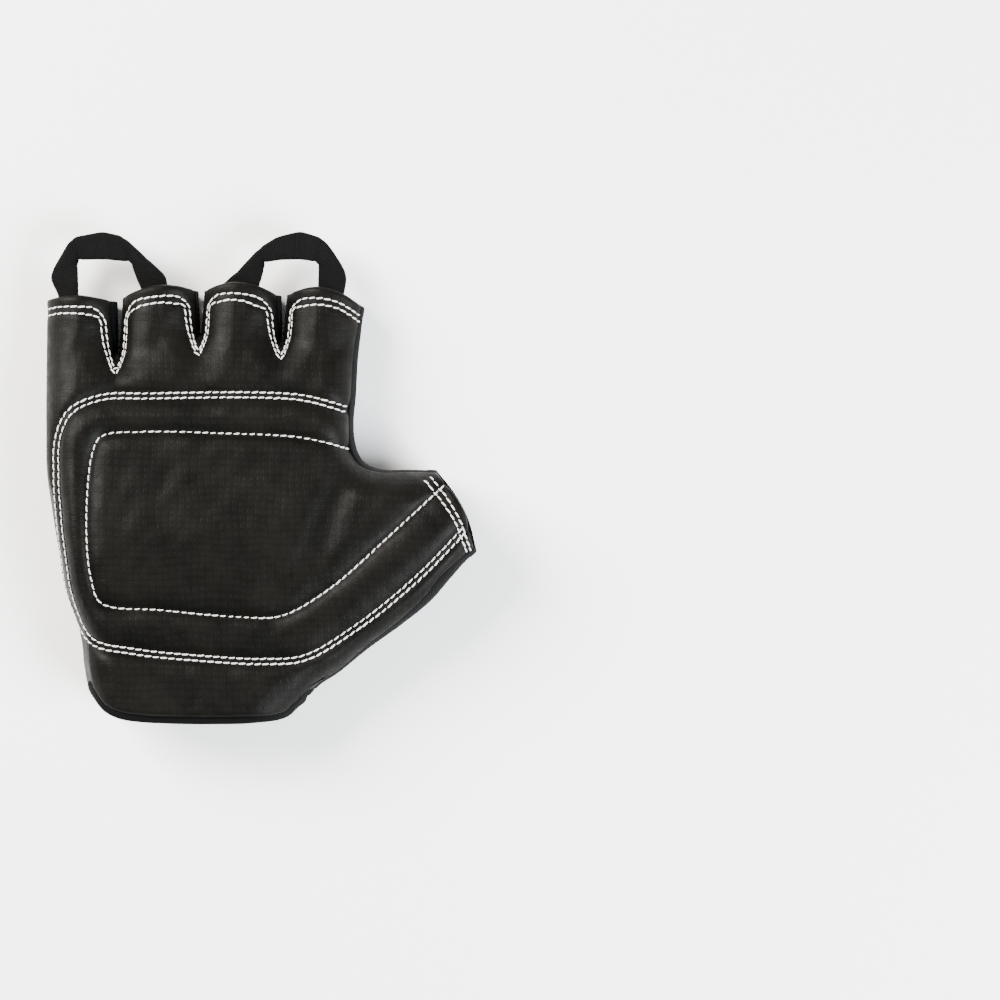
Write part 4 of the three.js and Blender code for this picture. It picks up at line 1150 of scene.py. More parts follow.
@dataclass
class PalmLeather:
    """The padded leather palm with its quilting seams, hems and stitches."""

    form: GloveForm
    finishes: Finishes
    wall: float = 1.8
    pad_rise: float = 2.2
    pad_shoulder: float = 7.0
    row_half: float = 1.0
    row_step: float = 0.4
    tilt_step: float = 0.15
    groove: float = 0.55
    groove_width: float = 1.2
    hem_groove: float = 0.6
    hem_rows: tuple[float, float] = (3.0, 5.4)
    # How the hem rows run: their gap to the glove's sides, and the shares of their inset that
    # they keep from a slot's little and index sides, the change of these at its foot, and below.
    side_gap: float = 0.3
    slot_insets: tuple[float, float] = (0.85, 0.42)
    foot_insets: tuple[float, float] = (0.62, 1.1)
    foot_drop: float = 0.75
    # Where the rows' points lie, by share across a fingertip and by share down a slot.
    tip_stops: tuple[float, ...] = (0.14, 0.35, 0.65, 0.86)
    slot_stops: tuple[float, ...] = (0.72, 0.45, 0.2)
    outer_quilt: Rows = ((0.468, 0.713), (0.334, 0.738), (0.2, 0.745), (-0.165, 0.743), (-0.308, 0.74),
                         (-0.404, 0.711), (-0.449, 0.657), (-0.457, 0.542), (-0.438, 0.385), (-0.404, 0.263),
                         (-0.347, 0.192), (-0.212, 0.168), (0.027, 0.151), (0.2, 0.145), (0.334, 0.153),
                         (0.506, 0.224))
    outer_quilt_thumb: Rows = ((0.502, 0.335), (0.895, 0.44))
    inner_quilt: Rows = ((0.481, 0.625), (0.315, 0.65), (0.075, 0.659), (-0.184, 0.662), (-0.308, 0.652),
                         (-0.337, 0.613), (-0.353, 0.454), (-0.338, 0.33), (-0.308, 0.277), (-0.117, 0.261),
                         (0.123, 0.246), (0.26, 0.248), (0.411, 0.307))
    inner_quilt_thumb: Rows = ((0.24, 0.426), (0.72, 0.542))
    # Soft dents: across, along, then length, width and depth in millimetres, and the angle in
    # degrees that each runs at.
    dents: Rows = ((-0.147, 0.86, 16, 4, 0.8, 50), (-0.27, 0.79, 9, 4, 0.7, 80), (-0.01, 0.8, 12, 5, 0.8, 85),
                   (0.25, 0.79, 11, 5, 0.8, 100), (0.44, 0.52, 17, 6, 1.8, 72), (0.36, 0.41, 16, 5, 0.7, 60),
                   (-0.43, 0.47, 20, 3, 0.4, 95), (0.08, 0.2, 26, 4, 0.5, 5), (0.16, 0.87, 10, 3.5, 0.5, 60),
                   (0.4, 0.84, 9, 4, 0.5, 40), (-0.38, 0.85, 9, 3, 0.45, 60))

    def __post_init__(self) -> None:
        """Draw the seams."""
        form = self.form
        outer = np.vstack([form.across(self.outer_quilt), form.reach(self.outer_quilt_thumb)])
        inner = np.vstack([form.across(self.inner_quilt), form.reach(self.inner_quilt_thumb)])
        self.outer_edge = Edge(smooth_line(outer, 300), prolonged=False)
        self.inner_edge = Edge(smooth_line(inner, 260), prolonged=False)
        shares = np.linspace(0, 1, 400)
        self.rows = [
            self.outer_edge.at(shares, self.row_half),
            self.outer_edge.at(shares, -self.row_half),
            self.inner_edge.points,
            *(self.finger_row(inset) for inset in self.hem_rows),
            *(self.thumb_row(inset) for inset in self.hem_rows),
        ]
        self.hem_edges = [Edge(row, prolonged=False) for row in self.rows[3:]]

    def finger_row(self, inset: float) -> np.ndarray:
        """Draw a row of stitches along the finger hems, down and up each slot.

        Args:
            inset: How far the row lies from the fingertips' hems, in millimetres.

        Returns:
            The row's places.
        """
        form = self.form
        little_end = form.little.points[0] + (self.side_gap, 0)
        index_end = form.up(np.array([1.0]), True)[0] - (self.side_gap, 0)
        before, after = inset * self.slot_insets[0], inset * self.slot_insets[1]
        middle = self.tip_stops[1:-1]
        points: list[np.ndarray] = []
        for finger, (left, _, right) in enumerate(form.finger_tips):
            first, last = finger == 0, finger == 3
            a = little_end if first else form.notch_side(finger - 1, 1, 1.0) + (after, 0)
            b = index_end if last else form.notch_side(finger, -1, 1.0) - (before, 0)
            stops = (0.0 if first else self.tip_stops[0], *middle, 1.0 if last else self.tip_stops[-1])
            for share in stops:
                height = mix(left, right, share) * form.length + form.tip_bow(finger, share) - inset
                points.append(np.array([mix(a[0], b[0], share), height]))
            if last:
                break
            for t in self.slot_stops:
                drawn_in = before * mix(self.foot_insets[0], 1, t)
                points.append(form.notch_side(finger, -1, t) - (drawn_in, 0))
            points.append(form.notch_side(finger, 1, 0.0) - (0, inset * self.foot_drop))
            for t in self.slot_stops[::-1]:
                drawn_in = after * mix(self.foot_insets[1], 1, t)
                points.append(form.notch_side(finger, 1, t) + (drawn_in, 0))
        return smooth_line(np.array(points), 900)

    def thumb_row(self, inset: float) -> np.ndarray:
        """Draw a row of stitches along the thumb's hem."""
        shares = np.linspace(0.03, 0.97, 60)
        return self.form.thumb_line.at(shares, inset * mix(0.62, 1.05, shares))

    def relief(self, places: np.ndarray, near: Near) -> np.ndarray:
        """Give the height of the padding, seams and folds over the plain skin, in millimetres."""
        form = self.form
        outer = self.outer_edge.nearest(places).distance
        inner = self.inner_edge.nearest(places).distance
        off_row = np.maximum(np.minimum(outer - self.row_half, inner), 0)
        away = 1 - np.minimum(off_row / self.pad_shoulder, 1)
        inland = np.minimum(near.distance / form.edge_round, 1)
        height = self.pad_rise * (1 - away**2) * inland
        for gap in (np.abs(outer - self.row_half), inner):
            height -= self.groove * bell(gap, self.groove_width)
        for edge in self.hem_edges:
            height -= self.hem_groove * self.groove * bell(edge.nearest(places).distance, self.groove_width)
        share = places / (form.palm_width, form.length)
        for across, along, length, width, depth, angle in self.dents:
            offset = (share - (across, along)) * (form.palm_width, form.length)
            turn = math.radians(angle)
            down = offset[:, 0] * math.cos(turn) + offset[:, 1] * math.sin(turn)
            over = offset[:, 1] * math.cos(turn) - offset[:, 0] * math.sin(turn)
            height -= depth * np.exp(-((down / length) ** 2) - (over / width) ** 2)
        return height + self.ripple(places) * inland

    def ripple(self, places: np.ndarray) -> np.ndarray:
        """Give the slack unevenness of cut and sewn leather, in millimetres."""
        waves = ((23, 20, 0.14), (17, 75, 0.1), (11, 130, 0.07), (7.5, 50, 0.04), (9, 160, 0.04))
        total = np.zeros(len(places))
        for order, (pitch, angle, height) in enumerate(waves):
            turn = math.radians(angle)
            phase = (places @ (math.cos(turn), math.sin(turn))) / pitch
            bend = np.sin(places @ (0.09, -0.06) + order)
            total += height * np.sin(2 * np.pi * phase + 1.7 * bend + order * 2.1)
        return total

    def surface(self, places: np.ndarray) -> np.ndarray:
        """Give points on the finished leather."""
        near = self.form.nearest_side(places)
        return self.form.skin(places, 1, -self.relief(places, near), near)

    def build(self) -> bpy.types.Object:
        """Make the leather and its stitches."""
        form = self.form
        face = form.face(Side.PALM, True)
        cloth = Cloth()
        for grid in (face.palm, *face.fingers, face.thumb):
            cloth.add(grid, 1)
        places, _, quads = cloth.weld()
        near = form.nearest_side(places)
        outer = form.skin(places, 1, -self.relief(places, near), near)
        inner = form.skin(places, 1, self.wall, near)
        body = thicken(form.to_frame(outer), form.to_frame(inner), quads)
        piece = make_piece("palm_leather_quilted", body, [self.finishes.leather, self.finishes.lining],
                           {"cloth_mm": laid_flat(form.spread(places, 1, near))})
        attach(piece, "root")
        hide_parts("palm_leather")
        self.sew()
        return piece

    def sew(self) -> bpy.types.Object:
        """Make the white stitches of the palm."""
        form = self.form
        step = self.tilt_step
        lines = []
        for row in self.rows:
            places = spaced(row, max(int(lengths_of(row)[-1] / self.row_step), 8))
            middle, east, north = (self.surface(places + offset) for offset in ((0, 0), (step, 0), (0, step)))
            lines.append((middle, unit(np.cross(east - middle, north - middle))))
        body, marks = Stitching().sew(lines, 3)
        piece = make_piece("palm_stitching", body._replace(points=form.to_frame(body.points)),
                           [self.finishes.white_thread], {"cloth_mm": marks})
        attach(piece, "root")
        return piece


@dataclass
class BackPanels:
    """The back of the hand: a mesh panel, and a knit panel that wraps over the thumb side."""

    form: GloveForm
    finishes: Finishes
    mesh_wall: float = 2.2
    knit_wall: float = 1.4
    dent_pitch: tuple[float, float] = (6.0, 3.5)
    dent_size: tuple[float, float] = (3.1, 2.6)
    dent_depth: float = 0.9
    # A dent's outline reaches further than a circle of its size, and blurs over a share of it.
    dent_reach: float = 1.35
    dent_blur: float = 0.9
    dent_corner: float = 3.0
    # Dents fade towards the glove's sides, and both cloths lie a little below the hems.
    side_fade: float = 4.0
    mesh_sink: float = 0.25
    knit_sink: float = 0.2
    hem_width: float = 3.2
    hem_step: float = 0.5
    # Columns of the knit that wraps over each side, and how they crowd there.
    wrap_columns: int = 5
    wrap_crowding: float = 1.6

    def __post_init__(self) -> None:
        """Lay out the back, with the seam between its panels beside the index finger."""
        form = self.form
        self.face = form.face(Side.BACK, False)
        self.seam = 3 * form.finger_columns

    def hem(self, places: np.ndarray) -> np.ndarray:
        """Give 1 on the whipped hems of the fingers and thumb, and 0 elsewhere."""
        form = self.form
        tips = np.array([row for finger in self.face.fingers for row in finger[-1]])
        edges = [Edge(line, prolonged=False) for line in (tips, form.thumb_line.points)]
        gap = np.min([edge.nearest(places).distance for edge in edges], axis=0)
        return smooth((self.hem_width - gap) / self.hem_step)

    def dents(self, places: np.ndarray) -> np.ndarray:
        """Give 1 in the middle of the mesh's dents and 0 between them."""
        x, y = (places / self.dent_pitch).T
        row = np.floor(y)
        offset = np.stack([(x + 0.5 * (row % 2)) % 1 - 0.5, y % 1 - 0.5], axis=1) * self.dent_pitch
        reach = (np.abs(offset / (np.array(self.dent_size) / 2)) ** self.dent_corner).sum(axis=1)
        return smooth((self.dent_reach - reach) / self.dent_blur)

    def build(self) -> list[bpy.types.Object]:
        """Make both panels."""
        form, face, gap = self.form, self.face, self.form.seam_gap / 2
        mesh_side = face.palm[:, :self.seam + 1].copy()
        knit_side = face.palm[:, self.seam:].copy()
        mesh_side[:, -1, 0] -= gap
        knit_side[:, 0, 0] += gap
        middle, index = face.fingers[2].copy(), face.fingers[3].copy()
        middle[0, -1], index[0, 0] = mesh_side[-1, -1], knit_side[-1, 0]

        cloth = Cloth()
        for grid in (mesh_side, face.fingers[0], face.fingers[1], middle):
            cloth.add(grid, -1, flip=True)
        places, _, quads = cloth.weld()
        near = form.nearest_side(places)
        unrolled = form.spread(places, -1, near)
        hem = self.hem(places)
        # hollow deepens the dents and tells the mesh material where to paint shade in them.
        hollow = self.dents(unrolled) * (1 - hem)
        relief = self.dent_depth * hollow * smooth(near.distance / self.side_fade)
        outer = form.skin(places, -1, relief + self.mesh_sink * (1 - hem), near)
        inner = form.skin(places, -1, self.mesh_wall, near)
        body = thicken(form.to_frame(outer), form.to_frame(inner), quads)
        marks = {"cloth_mm": laid_flat(unrolled), "hollow": hollow, "hem": hem}
        mesh_panel = make_piece("back_mesh_cloth", body, [self.finishes.mesh, self.finishes.lining], marks)
        cut_slit(form, mesh_panel, self.mesh_wall)

        cloth = Cloth()
        for grid in (knit_side, index, face.thumb):
            cloth.add(grid, -1, flip=True)
        lower_path = np.vstack([face.right[:form.cuff_rows], face.low_line])
        after_root = form.cuff_rows + form.root_rows + 1
        upper_path = np.vstack([face.up_line[::-1], face.right[after_root:], index[1:, -1]])
        wraps = ((lower_path, form.lower, form.knit_show_lower),
                 (upper_path, form.upper, form.knit_show_upper))
        shares = np.linspace(0, 1, self.wrap_columns + 1) ** self.wrap_crowding
        for path, edge, rows in wraps:
            near = edge.nearest(path)
            show = form.show(rows, near.along / edge.total)
            strip = path[:, None] + near.inward[:, None] * (show[:, None] * shares)[..., None]
            cloth.add(strip, [-1, *[1] * self.wrap_columns], flip=True)
        places, sides, quads = cloth.weld()
        near = form.nearest_side(places)
        hem = self.hem(places)
        outer = form.skin(places, sides, self.knit_sink * (1 - hem), near)
        inner = form.skin(places, sides, self.knit_wall, near)
        body = thicken(form.to_frame(outer), form.to_frame(inner), quads)
        knit_panel = make_piece("back_knit_cloth", body, [self.finishes.knit, self.finishes.lining],
                                {"cloth_mm": laid_flat(form.spread(places, -1, near))})
        flats = ((mesh_panel, "back_mesh", "mesh"), (knit_panel, "back_knit", "knit"))
        for piece, node, slot in flats:
            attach(piece, "root")
            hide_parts(node)
        return [mesh_panel, knit_panel]


@dataclass
class FingerGussets:
    """Strips of thin knit that close the sides of the fingers along each slot."""

    form: GloveForm
    finishes: Finishes
    wall: float = 1.0
    foot_gap: float = 1.6
    side_gap: float = 0.5
    half_width: float = 9.0
    rows: int = 24
    columns: int = 16
    side_crowding: float = 1.8
    # Width and length that each strip is cut to, in metres.
    cuts: Rows = ((0.011, 0.042), (0.01, 0.036), (0.0105, 0.036))

    def build(self) -> list[bpy.types.Object]:
        """Make the three gussets."""
        form = self.form
        pieces = []
        rows = np.linspace(0, 1, self.rows + 1)[1:]
        hands = np.repeat([1, 0, -1], [self.rows, 1, self.rows])
        shares = np.concatenate([rows[::-1], [0], rows])
        stops = list(zip(hands, shares))
        steps = np.linspace(-1, 1, self.columns + 1)
        crowd = np.abs(steps) ** self.side_crowding
        for slot, name in enumerate(("gusset_little", "gusset_middle", "gusset_index")):
            sewn = np.array([form.notch_side(slot, -1 if hand < 0 else 1, t) for hand, t in stops])
            near = form.slot_edges[slot].nearest(sewn)
            gap = np.where(hands == 0, self.foot_gap, self.side_gap)
            reach = np.maximum(near.distance - gap, form.seam_gap)
            inward = unit(sewn - near.foot)
            away = reach[:, None] * crowd
            spots = (near.foot[:, None] + inward[:, None] * away[..., None]).reshape(-1, 2)
            quads = grid_quads(*away.shape)
            inwards = np.repeat(inward, len(steps), axis=0)
            own = Near(away.ravel(), spots, inwards, np.full(len(spots), np.nan))
            sides = np.tile(-np.sign(steps), len(sewn))
            outer, inner = (form.skin(spots, sides, depth, own) for depth in (0.0, self.wall))
            body = thicken(form.to_frame(outer), form.to_frame(inner), quads)
            along = np.repeat(lengths_of(sewn), len(steps))
            marks = {"cloth_mm": laid_flat(np.tile(steps * self.half_width, len(sewn)), along)}
            piece = make_piece(name + "_cloth", body, [self.finishes.gusset], marks)
            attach(piece, "root")
            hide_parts(name)
            pieces.append(piece)
        return pieces


@dataclass
class CuffTape:
    """Folded tape round the mouth of the cuff."""

    form: GloveForm
    finishes: Finishes
    wall: float = 1.8
    back_wall: float = 2.2
    thickness: float = 2.4
    steps: int = 150
    lip_columns: int = 5
    turn_steps: int = 10
    tuck: float = 0.7
    # How far the tape's lips overlap the cloth, how far its mouth stands in, and how many
    # points up the glove's sides its turned ends lead to.
    overlap: float = 0.5
    mouth: float = 1.1
    side_points: int = 8

    def turn(self, corner: np.ndarray, start: np.ndarray, towards: np.ndarray, band: float) -> np.ndarray:
        """Give places that turn round an end of the cuff.

        Args:
            corner: The end of the cuff.
            start: The direction that the places start in.
            towards: A place on the glove's side, where they end.
            band: Their distance from the corner, in millimetres.

        Returns:
            The places after the one in the start's direction.
        """
        part = (np.arange(self.turn_steps) + 1)[:, None] / self.turn_steps
        return corner + band * unit(mix(start, unit(towards - corner), part)) + self.tuck * start * part

    def build(self) -> bpy.types.Object:
        """Make the tape."""
        form = self.form
        shares = eased_shares(self.steps, 0.8)
        lips = np.linspace(0, 1, self.lip_columns + 1)
        cuff, up = form.cuff, self.side_points
        rings, sides = [], []
        for side in Side:
            edge, mouth = (np.vstack([
                self.turn(cuff.points[0], cuff.normals[0], form.little.points[-up], band)[::-1],
                form.cuff_place(shares, side, band),
                self.turn(cuff.points[-1], cuff.normals[-1], form.lower.points[up], band),
            ]) for band in (form.cuff_band - self.overlap, self.mouth))
            lines = mix(edge[:, None], mouth[:, None], lips[None, :, None])
            rings.append(lines if side is Side.PALM else lines[1:-1][::-1])
            sides.append(np.full(len(rings[-1]), float(side.value)))
        sides[0][[0, -1]] = 0
        ring = np.vstack(rings)
        side = np.repeat(np.concatenate(sides), len(lips))
        rows = len(ring)
        quads = grid_quads(rows, len(lips), closed=True)
        places = ring.reshape(-1, 2)
        near = form.nearest_side(places)
        proud = (self.thickness - self.wall) / 2
        lift = np.where(side < 0, 0.0, proud)
        outer = form.skin(places, side, -lift, near)
        inner = form.skin(places, side, self.thickness - lift, near)
        body = thicken(form.to_frame(outer), form.to_frame(inner), quads, fold=1.0, steps=6)
        along = np.repeat(lengths_of(ring[:, 0]), len(lips))
        marks = {"cloth_mm": laid_flat(along, np.tile(lips * form.cuff_band, rows))}
        piece = make_piece("cuff_binding_tape", body, [self.finishes.tape], marks)
        cut_slit(form, piece, self.back_wall)
        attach(piece, "root")
        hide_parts("cuff_binding")
        return piece


@dataclass
class WristStrap:
    """The strap across the back of the wrist, its tape edging and its bare moulded patch."""

    form: GloveForm
    finishes: Finishes
    length: float = 71.0
    slant: float = 0.22
    width: float = 38.0
    thickness: float = 1.6
    seat: float = 0.5
    tip_round: float = 15.0
    tape_width: float = 4.4
    tape_thickness: float = 2.6
    patch_margin: float = 1.6
    patch_round: float = 9.0
    patch_length: float = 60.0
    patch_width: float = 24.5
    patch_thickness: float = 1.0
    tip: tuple[float, float] = (0.308, 0.127)
    rise: float = 0.041
    # Mesh fineness of a panel, and how closely its rows crowd at the tip.
    rows: int = 69
    columns: int = 30
    tip_crowding: float = 1.7
    turn_points: int = 9
    straight_points: int = 12
    tape_columns: int = 8
    tape_crown: float = 0.5
    # The seam's distance from the tape's middle, as a share of its width.
    seam_share: float = 0.27

    def __post_init__(self) -> None:
        """Find the strap's tip and directions."""
        self.tip_at = self.form.across([self.tip])[0]
        self.run = unit(np.array([-self.length, self.rise * self.form.length]))
        self.aside = np.array([self.run[1], -self.run[0]])

    def spot(self, along: Any, across: Any) -> np.ndarray:
        """Give places on the strap from millimetres along it and across it."""
        ahead, aside = np.asarray(along)[..., None], np.asarray(across)[..., None]
        return self.tip_at + ahead * self.run + aside * self.aside

    def panel(self, start: float, end: float, half: float, corner: float, slant: float) -> np.ndarray:
        """Lay out a panel of the strap with a rounded tip."""
        t = (np.linspace(0, 1, self.rows + 1) ** self.tip_crowding)[:, None]
        away = 1 - np.minimum((end - start) * t / corner, 1)
        reach = half - corner + corner * np.sqrt(1 - away**2)
        across = reach * np.linspace(-1, 1, self.columns + 1)
        return self.spot(mix(start, end + slant * across, t), across)

    def route(self) -> np.ndarray:
        """Draw the tape's middle line: round the strap, then round the end of the hand slit."""
        middle = self.tape_width / 2
        half = self.width / 2 - middle
        corner = self.tip_round - middle
        turn = np.linspace(0, np.pi / 2, self.turn_points)
        root = self.length - self.slant * half - self.tape_width
        arc = self.tip_round - corner * np.sin(turn)
        rise = corner * (1 - np.cos(turn))
        end, mouth = self.form.across(self.form.slit[:2])
        run = unit(end - mouth)
        side = np.array([-run[1], run[0]])
        radius = (self.form.slit_width + self.tape_width) / 2
        leave = mouth + side * radius
        last = float((leave - self.tip_at) @ self.run) - self.tape_width
        bend = np.linspace(0, np.pi, self.turn_points)[:, None]
        return np.vstack([
            self.spot(np.linspace(root, self.tip_round, self.straight_points)[:-1], -half),
            self.spot(arc, -half + rise),
            self.spot(arc[::-1], half - rise[::-1])[1:],
            self.spot(np.linspace(self.tip_round, last, self.straight_points)[1:], half),
            leave,
            end + side * radius * np.cos(bend) + run * radius * np.sin(bend),
            mouth - side * radius,
        ])

    def sheet(self, name: str, grid: np.ndarray, top: float, under: float, finish: bpy.types.Material,
              node: str, marks: Optional[dict[str, np.ndarray]] = None,
              crown: float = 0.0) -> bpy.types.Object:
        """Make one flat piece of the strap.

        Args:
            name: The piece's name.
            grid: Its places by row and column.
            top: Its outer face's height over the back's skin, in millimetres.
            under: Its inner face's height.
            finish: Its material.
            node: The node that it replaces.
            marks: Marks for its material besides its own distances.
            crown: How far its middle line swells.

        Returns:
            The piece.
        """
        form = self.form
        rows, columns = grid.shape[:2]
        quads = grid_quads(rows, columns)
        places = grid.reshape(-1, 2)
        across = np.tile(np.linspace(-1, 1, columns), rows)
        near = form.nearest_side(places)
        outer = form.skin(places, -1, -top + crown * np.abs(across) ** 3, near)
        inner = form.skin(places, -1, -under, near)
        if np.mean(normals_of(outer, quads)[:, 2]) > 0:
            quads = quads[:, ::-1]
        body = thicken(form.to_frame(outer), form.to_frame(inner), quads, fold=0.8)
        along = np.repeat(lengths_of(grid[:, columns // 2]), columns)
        width = np.linalg.norm(grid[rows // 2, -1] - grid[rows // 2, 0])
        own = {"cloth_mm": laid_flat(along, across * width / 2)}
        piece = make_piece(name, body, [finish], {**own, **(marks or {})})
        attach(piece, "root")
        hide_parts(node)
        return piece

    def build(self) -> list[bpy.types.Object]:
        """Make the strap's pieces."""
        form = self.form
        inset = self.tape_width + form.seam_gap
        base = self.seat + self.thickness
        grid = self.panel(inset, self.length, self.width / 2 - inset, self.tip_round - inset, self.slant)
        flat = grid.reshape(-1, 2)
        back = BackPanels(form, self.finishes)
        # The hollow mark gives the strap's dents the mesh material's painted shade.
        marks = {"hollow": back.dents(flat), "hem": np.zeros(len(flat))}
        cloth = self.sheet("wrist_strap_cloth", grid, base, self.seat, self.finishes.mesh,
                           "wrist_strap", marks)
        start = self.tape_width + self.patch_margin
        grid = self.panel(start, start + self.patch_length, self.patch_width / 2, self.patch_round, 0)
        patch = self.sheet("strap_patch_moulded", grid, base + form.seam_gap + self.patch_thickness,
                           base + form.seam_gap, self.finishes.rubber, "strap_patch")
        line = smooth_line(self.route(), 260)
        tape = Edge(line)
        across = np.linspace(-0.5, 0.5, self.tape_columns + 1) * self.tape_width
        grid = line[:, None] + tape.normals[:, None] * across[None, :, None]
        rim = (self.tape_thickness - self.thickness) / 2
        top = self.seat + self.tape_thickness - rim
        edging = self.sheet("strap_binding_tape", grid, top, self.seat, self.finishes.tape,
                            "strap_binding", crown=self.tape_crown)
        row = tape.at(np.linspace(0.01, 0.99, 400), self.tape_width * self.seam_share)
        down = np.tile((0.0, 0.0, -1.0), (len(row), 1))
        thread = Stitching(pitch=2.6, stitch=2.0, thread=0.42)
        body, marks = thread.sew([(form.skin(row, -1, -top), down)], 11)
        seam = make_piece("strap_binding_stitching", body._replace(points=form.to_frame(body.points)),
                          [self.finishes.black_thread], {"cloth_mm": marks})
        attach(seam, "root")
        return [cloth, patch, edging, seam]


class Fold(NamedTuple):
    """A cross-section of a pull loop's tape: its inner edge, the way to its outer edge and its width."""

    across: float
    up: float
    lean: float
    spread: float
    crease: float = 0.0


@dataclass
class PullLoops:
    """Two loops of ribbed webbing that pull the glove off, sewn inside the hems of four fingers."""

    form: GloveForm
    finishes: Finishes
    tape_width: float = 8.8
    thickness: float = 1.5
    wall: float = 1.8
    rise: float = 24.0
    tuck: float = 7.0
    seat: float = 0.8
    ease: float = 8.0
    level_share: float = 0.6
    base_along: float = 0.965
    rows: int = 150
    columns: int = 14
    # Rows that each turn is rounded over, a crease's width, how far the tape's edges thin, and
    # how high the free tape bows and where its waves start.
    rounding: int = 6
    crease_width: float = 0.7
    edge_thinning: float = 0.25
    bow: float = 0.7
    bow_start: float = 0.6
    outer: Sequence[Fold] = (
        Fold(-0.396, 0, 180, 1.04), Fold(-0.402, 0.53, 200, 1.04, 0.3), Fold(-0.396, 0.615, 107, 0.84, 0.6),
        Fold(-0.312, 0.622, 95, 1.03), Fold(-0.232, 0.588, 107, 0.97, 0.5), Fold(-0.222, 0.55, 10, 0.6, 0.3),
        Fold(-0.203, 0.3, 6, 1.08), Fold(-0.194, 0.14, 0, 1.06), Fold(-0.19, 0, 0, 1))
    inner: Sequence[Fold] = (
        Fold(0.178, 0, 180, 2.1), Fold(0.183, 0.14, 180, 1.97), Fold(0.181, 0.22, 180, 1.4),
        Fold(0.196, 0.48, 192, 1.05, 0.4), Fold(0.1965, 0.575, 104, 0.52, 0.5), Fold(0.25, 0.615, 97, 0.84),
        Fold(0.314, 0.622, 90, 1.04), Fold(0.364, 0.585, 72, 0.9, 0.5), Fold(0.378, 0.53, 18, 0.72, 0.3),
        Fold(0.378, 0.38, 0, 1.02), Fold(0.3725, 0, 0, 1.14))

    def build(self) -> list[bpy.types.Object]:
        """Make both loops."""
        return [self.loop("pull_loop_outer", self.outer), self.loop("pull_loop_inner", self.inner)]

    def loop(self, node: str, folds: Sequence[Fold]) -> bpy.types.Object:
        """Make one loop.

        Args:
            node: The node that it replaces.
            folds: Its cross-sections from one leg to the other.

        Returns:
            The piece.
        """
        form = self.form
        base = self.base_along * form.length
        heights = [fold.up * self.rise if fold.up > 0 else -self.tuck for fold in folds]
        inner = np.array([(fold.across * form.palm_width, base + up) for fold, up in zip(folds, heights)])
        lean = np.radians([fold.lean for fold in folds])
        width = np.array([fold.spread for fold in folds]) * self.tape_width
        outer = inner + np.stack([np.cos(lean), np.sin(lean)], axis=1) * width[:, None]
        count, reach = self.rows, self.rounding
        middle = lengths_of((inner + outer) / 2)
        goal = np.linspace(0, middle[-1], count)
        weights = bell(np.arange(-reach, reach + 1), reach / 2)
        weights /= weights.sum()
        rounded = []
        for line in (read_off(goal, middle, inner), read_off(goal, middle, outer)):
            padded = np.pad(line, ((reach, reach), (0, 0)), mode="edge")
            rounded.append(np.stack([np.convolve(axis, weights, "valid") for axis in padded.T], axis=1))
        across = np.linspace(0, 1, self.columns + 1)
        grid = mix(rounded[0][:, None], rounded[1][:, None], across[None, :, None])
        places = grid.reshape(-1, 2)
        over_seam = (1 - form.seam_share) * form.finger_depth * self.level_share
        level = form.seam_height(np.array([[0.0, base]]))[0] + over_seam
        free = smooth((places[:, 1] - base) / self.ease)[:, None]
        creases = np.zeros(count)
        for at, fold in zip(middle, folds):
            creases += fold.crease * bell(goal - at, self.crease_width)
        edge = np.abs(across * 2 - 1) ** 6
        dip = np.repeat(creases, len(across)) + np.tile(self.edge_thinning * edge, count)
        bow = self.bow * np.sin(goal / middle[-1] * np.pi * 3 + self.bow_start)
        lift = np.repeat(bow, len(across))
        near = form.nearest_side(places)
        faces = []
        for depth, sign in ((0.0, 1), (self.thickness, -1)):
            sewn = form.skin(places, 1, self.wall + self.seat + depth + (dip if sign > 0 else 0), near)
            hanging = np.column_stack([places, level - depth + lift - (dip if sign > 0 else 0)])
            faces.append(mix(sewn, hanging, free))
        quads = grid_quads(count, len(across))
        if np.mean(normals_of(faces[0], quads)[:, 2]) < 0:
            quads = quads[:, ::-1]
        body = thicken(form.to_frame(faces[0]), form.to_frame(faces[1]), quads, fold=0.9)
        marks = laid_flat(np.repeat(goal, len(across)), np.tile(across * self.tape_width, count))
        piece = make_piece(node + "_webbing", body, [self.finishes.webbing], {"cloth_mm": marks})
        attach(piece, "root")
        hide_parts(node)
        return piece


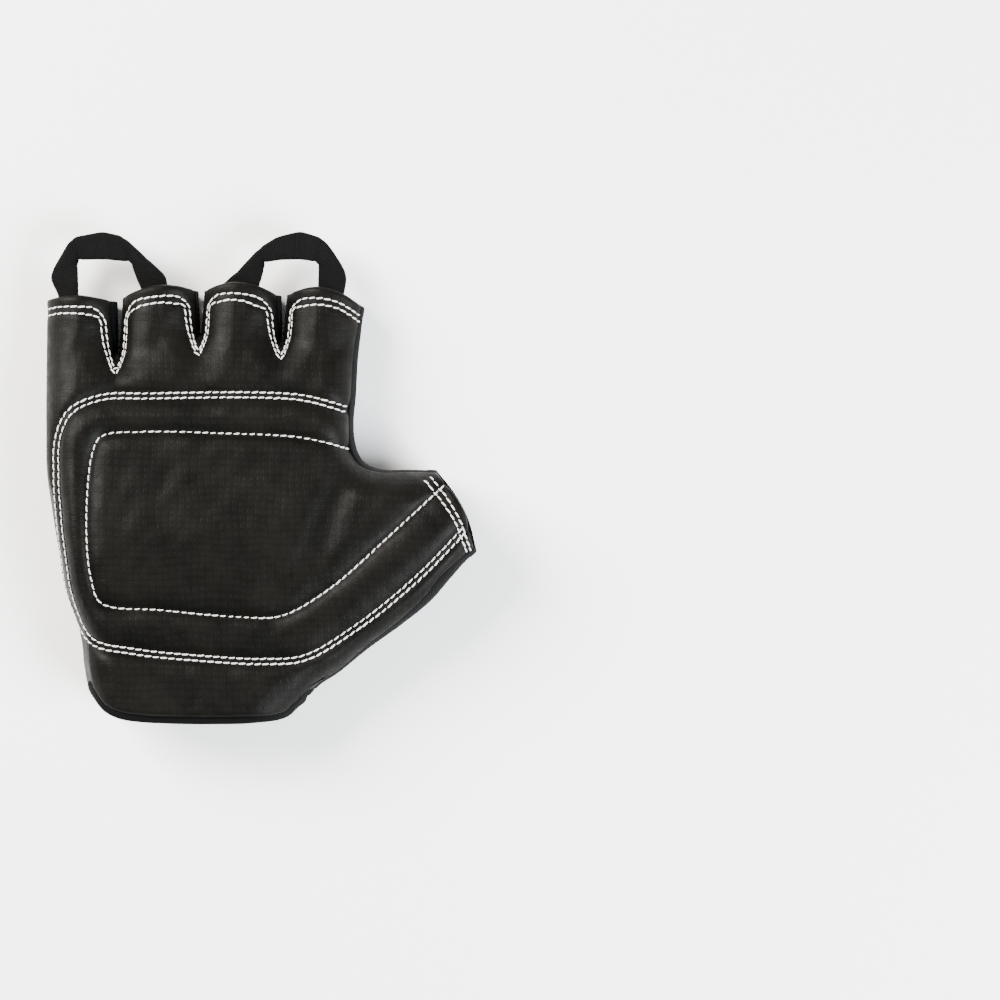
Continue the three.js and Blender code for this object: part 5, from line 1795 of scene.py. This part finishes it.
@dataclass
class Studio:
    """A white table, soft lights and a camera that looks straight down at the palm."""

    form: GloveForm
    photo_width_mm: float = 360.7
    photo_centre_mm: tuple[float, float] = (107.8, 80.8)
    plane_mm: float = 18.0
    lens_mm: float = 150.0
    sensor_mm: float = 36.0
    floor_reach: float = 1.5
    air: float = 0.5

    def lamp(self, name: str, at: tuple[float, float, float], size: float, watts: float, tint: str) -> None:
        """Hang a square soft light that faces the glove.

        Args:
            name: The light's name.
            at: Where it hangs, in metres.
            size: The length of its side, in metres.
            watts: Its power.
            tint: Its colour.
        """
        light = bpy.data.lights.new(name, "AREA")
        light.shape, light.size, light.energy = "SQUARE", size, watts
        light.color = linear(tint)[:3]
        lamp = bpy.data.objects.new(name, light)
        lamp.location = at
        target = np.array([0.0, 0.0, 0.01]) - at
        lamp.rotation_euler = (math.atan2(math.hypot(target[0], target[1]), -target[2]), 0,
                               math.atan2(target[1], target[0]) - math.pi / 2)
        bpy.context.collection.objects.link(lamp)

    def build(self) -> None:
        """Set up the floor, the lights and the camera."""
        corners = np.array([(-1, -1, 0), (1, -1, 0), (1, 1, 0), (-1, 1, 0)]) * self.floor_reach
        board = plain_body(corners, np.array([[0, 1, 2, 3]]))
        floor = make_piece("studio_floor", board, [PaintedFloor().material()])
        floor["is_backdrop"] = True
        self.lamp("key_light", (-0.95, 0.65, 0.9), 0.8, 118.0, "#fffaf4")
        self.lamp("fill_light", (1.05, -0.55, 0.85), 0.9, 100.0, "#f7fbff")
        world = bpy.data.worlds.new("studio_air")
        world.use_nodes = True
        background = world.node_tree.nodes["Background"]
        background.inputs["Color"].default_value = linear("#ffffff")
        background.inputs["Strength"].default_value = self.air
        bpy.context.scene.world = world
        camera_data = bpy.data.cameras.new("photo_camera")
        camera_data.lens, camera_data.sensor_width = self.lens_mm, self.sensor_mm
        camera_data.clip_end = 20.0
        camera = bpy.data.objects.new("photo_camera", camera_data)
        distance = self.photo_width_mm * self.lens_mm / self.sensor_mm
        x, y = self.form.to_frame(np.array([*self.photo_centre_mm, 0.0]))[:2]
        camera.location = (x, y, (self.plane_mm + distance) * MM)
        bpy.context.collection.objects.link(camera)
        bpy.context.scene.camera = camera


def main() -> None:
    """Build the glove and its studio, and report each piece."""
    logging.basicConfig(level=logging.INFO, format="%(name)s: %(message)s")
    form = GloveForm()
    Studio(form).build()
    finishes = Finishes()
    PalmLeather(form, finishes).build()
    BackPanels(form, finishes).build()
    FingerGussets(form, finishes).build()
    CuffTape(form, finishes).build()
    WristStrap(form, finishes).build()
    PullLoops(form, finishes).build()
    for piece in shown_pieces():
        if not piece.hide_render:
            log.info("%s has %d faces", piece.name, len(piece.data.polygons))


if __name__ == "__main__":
    main()
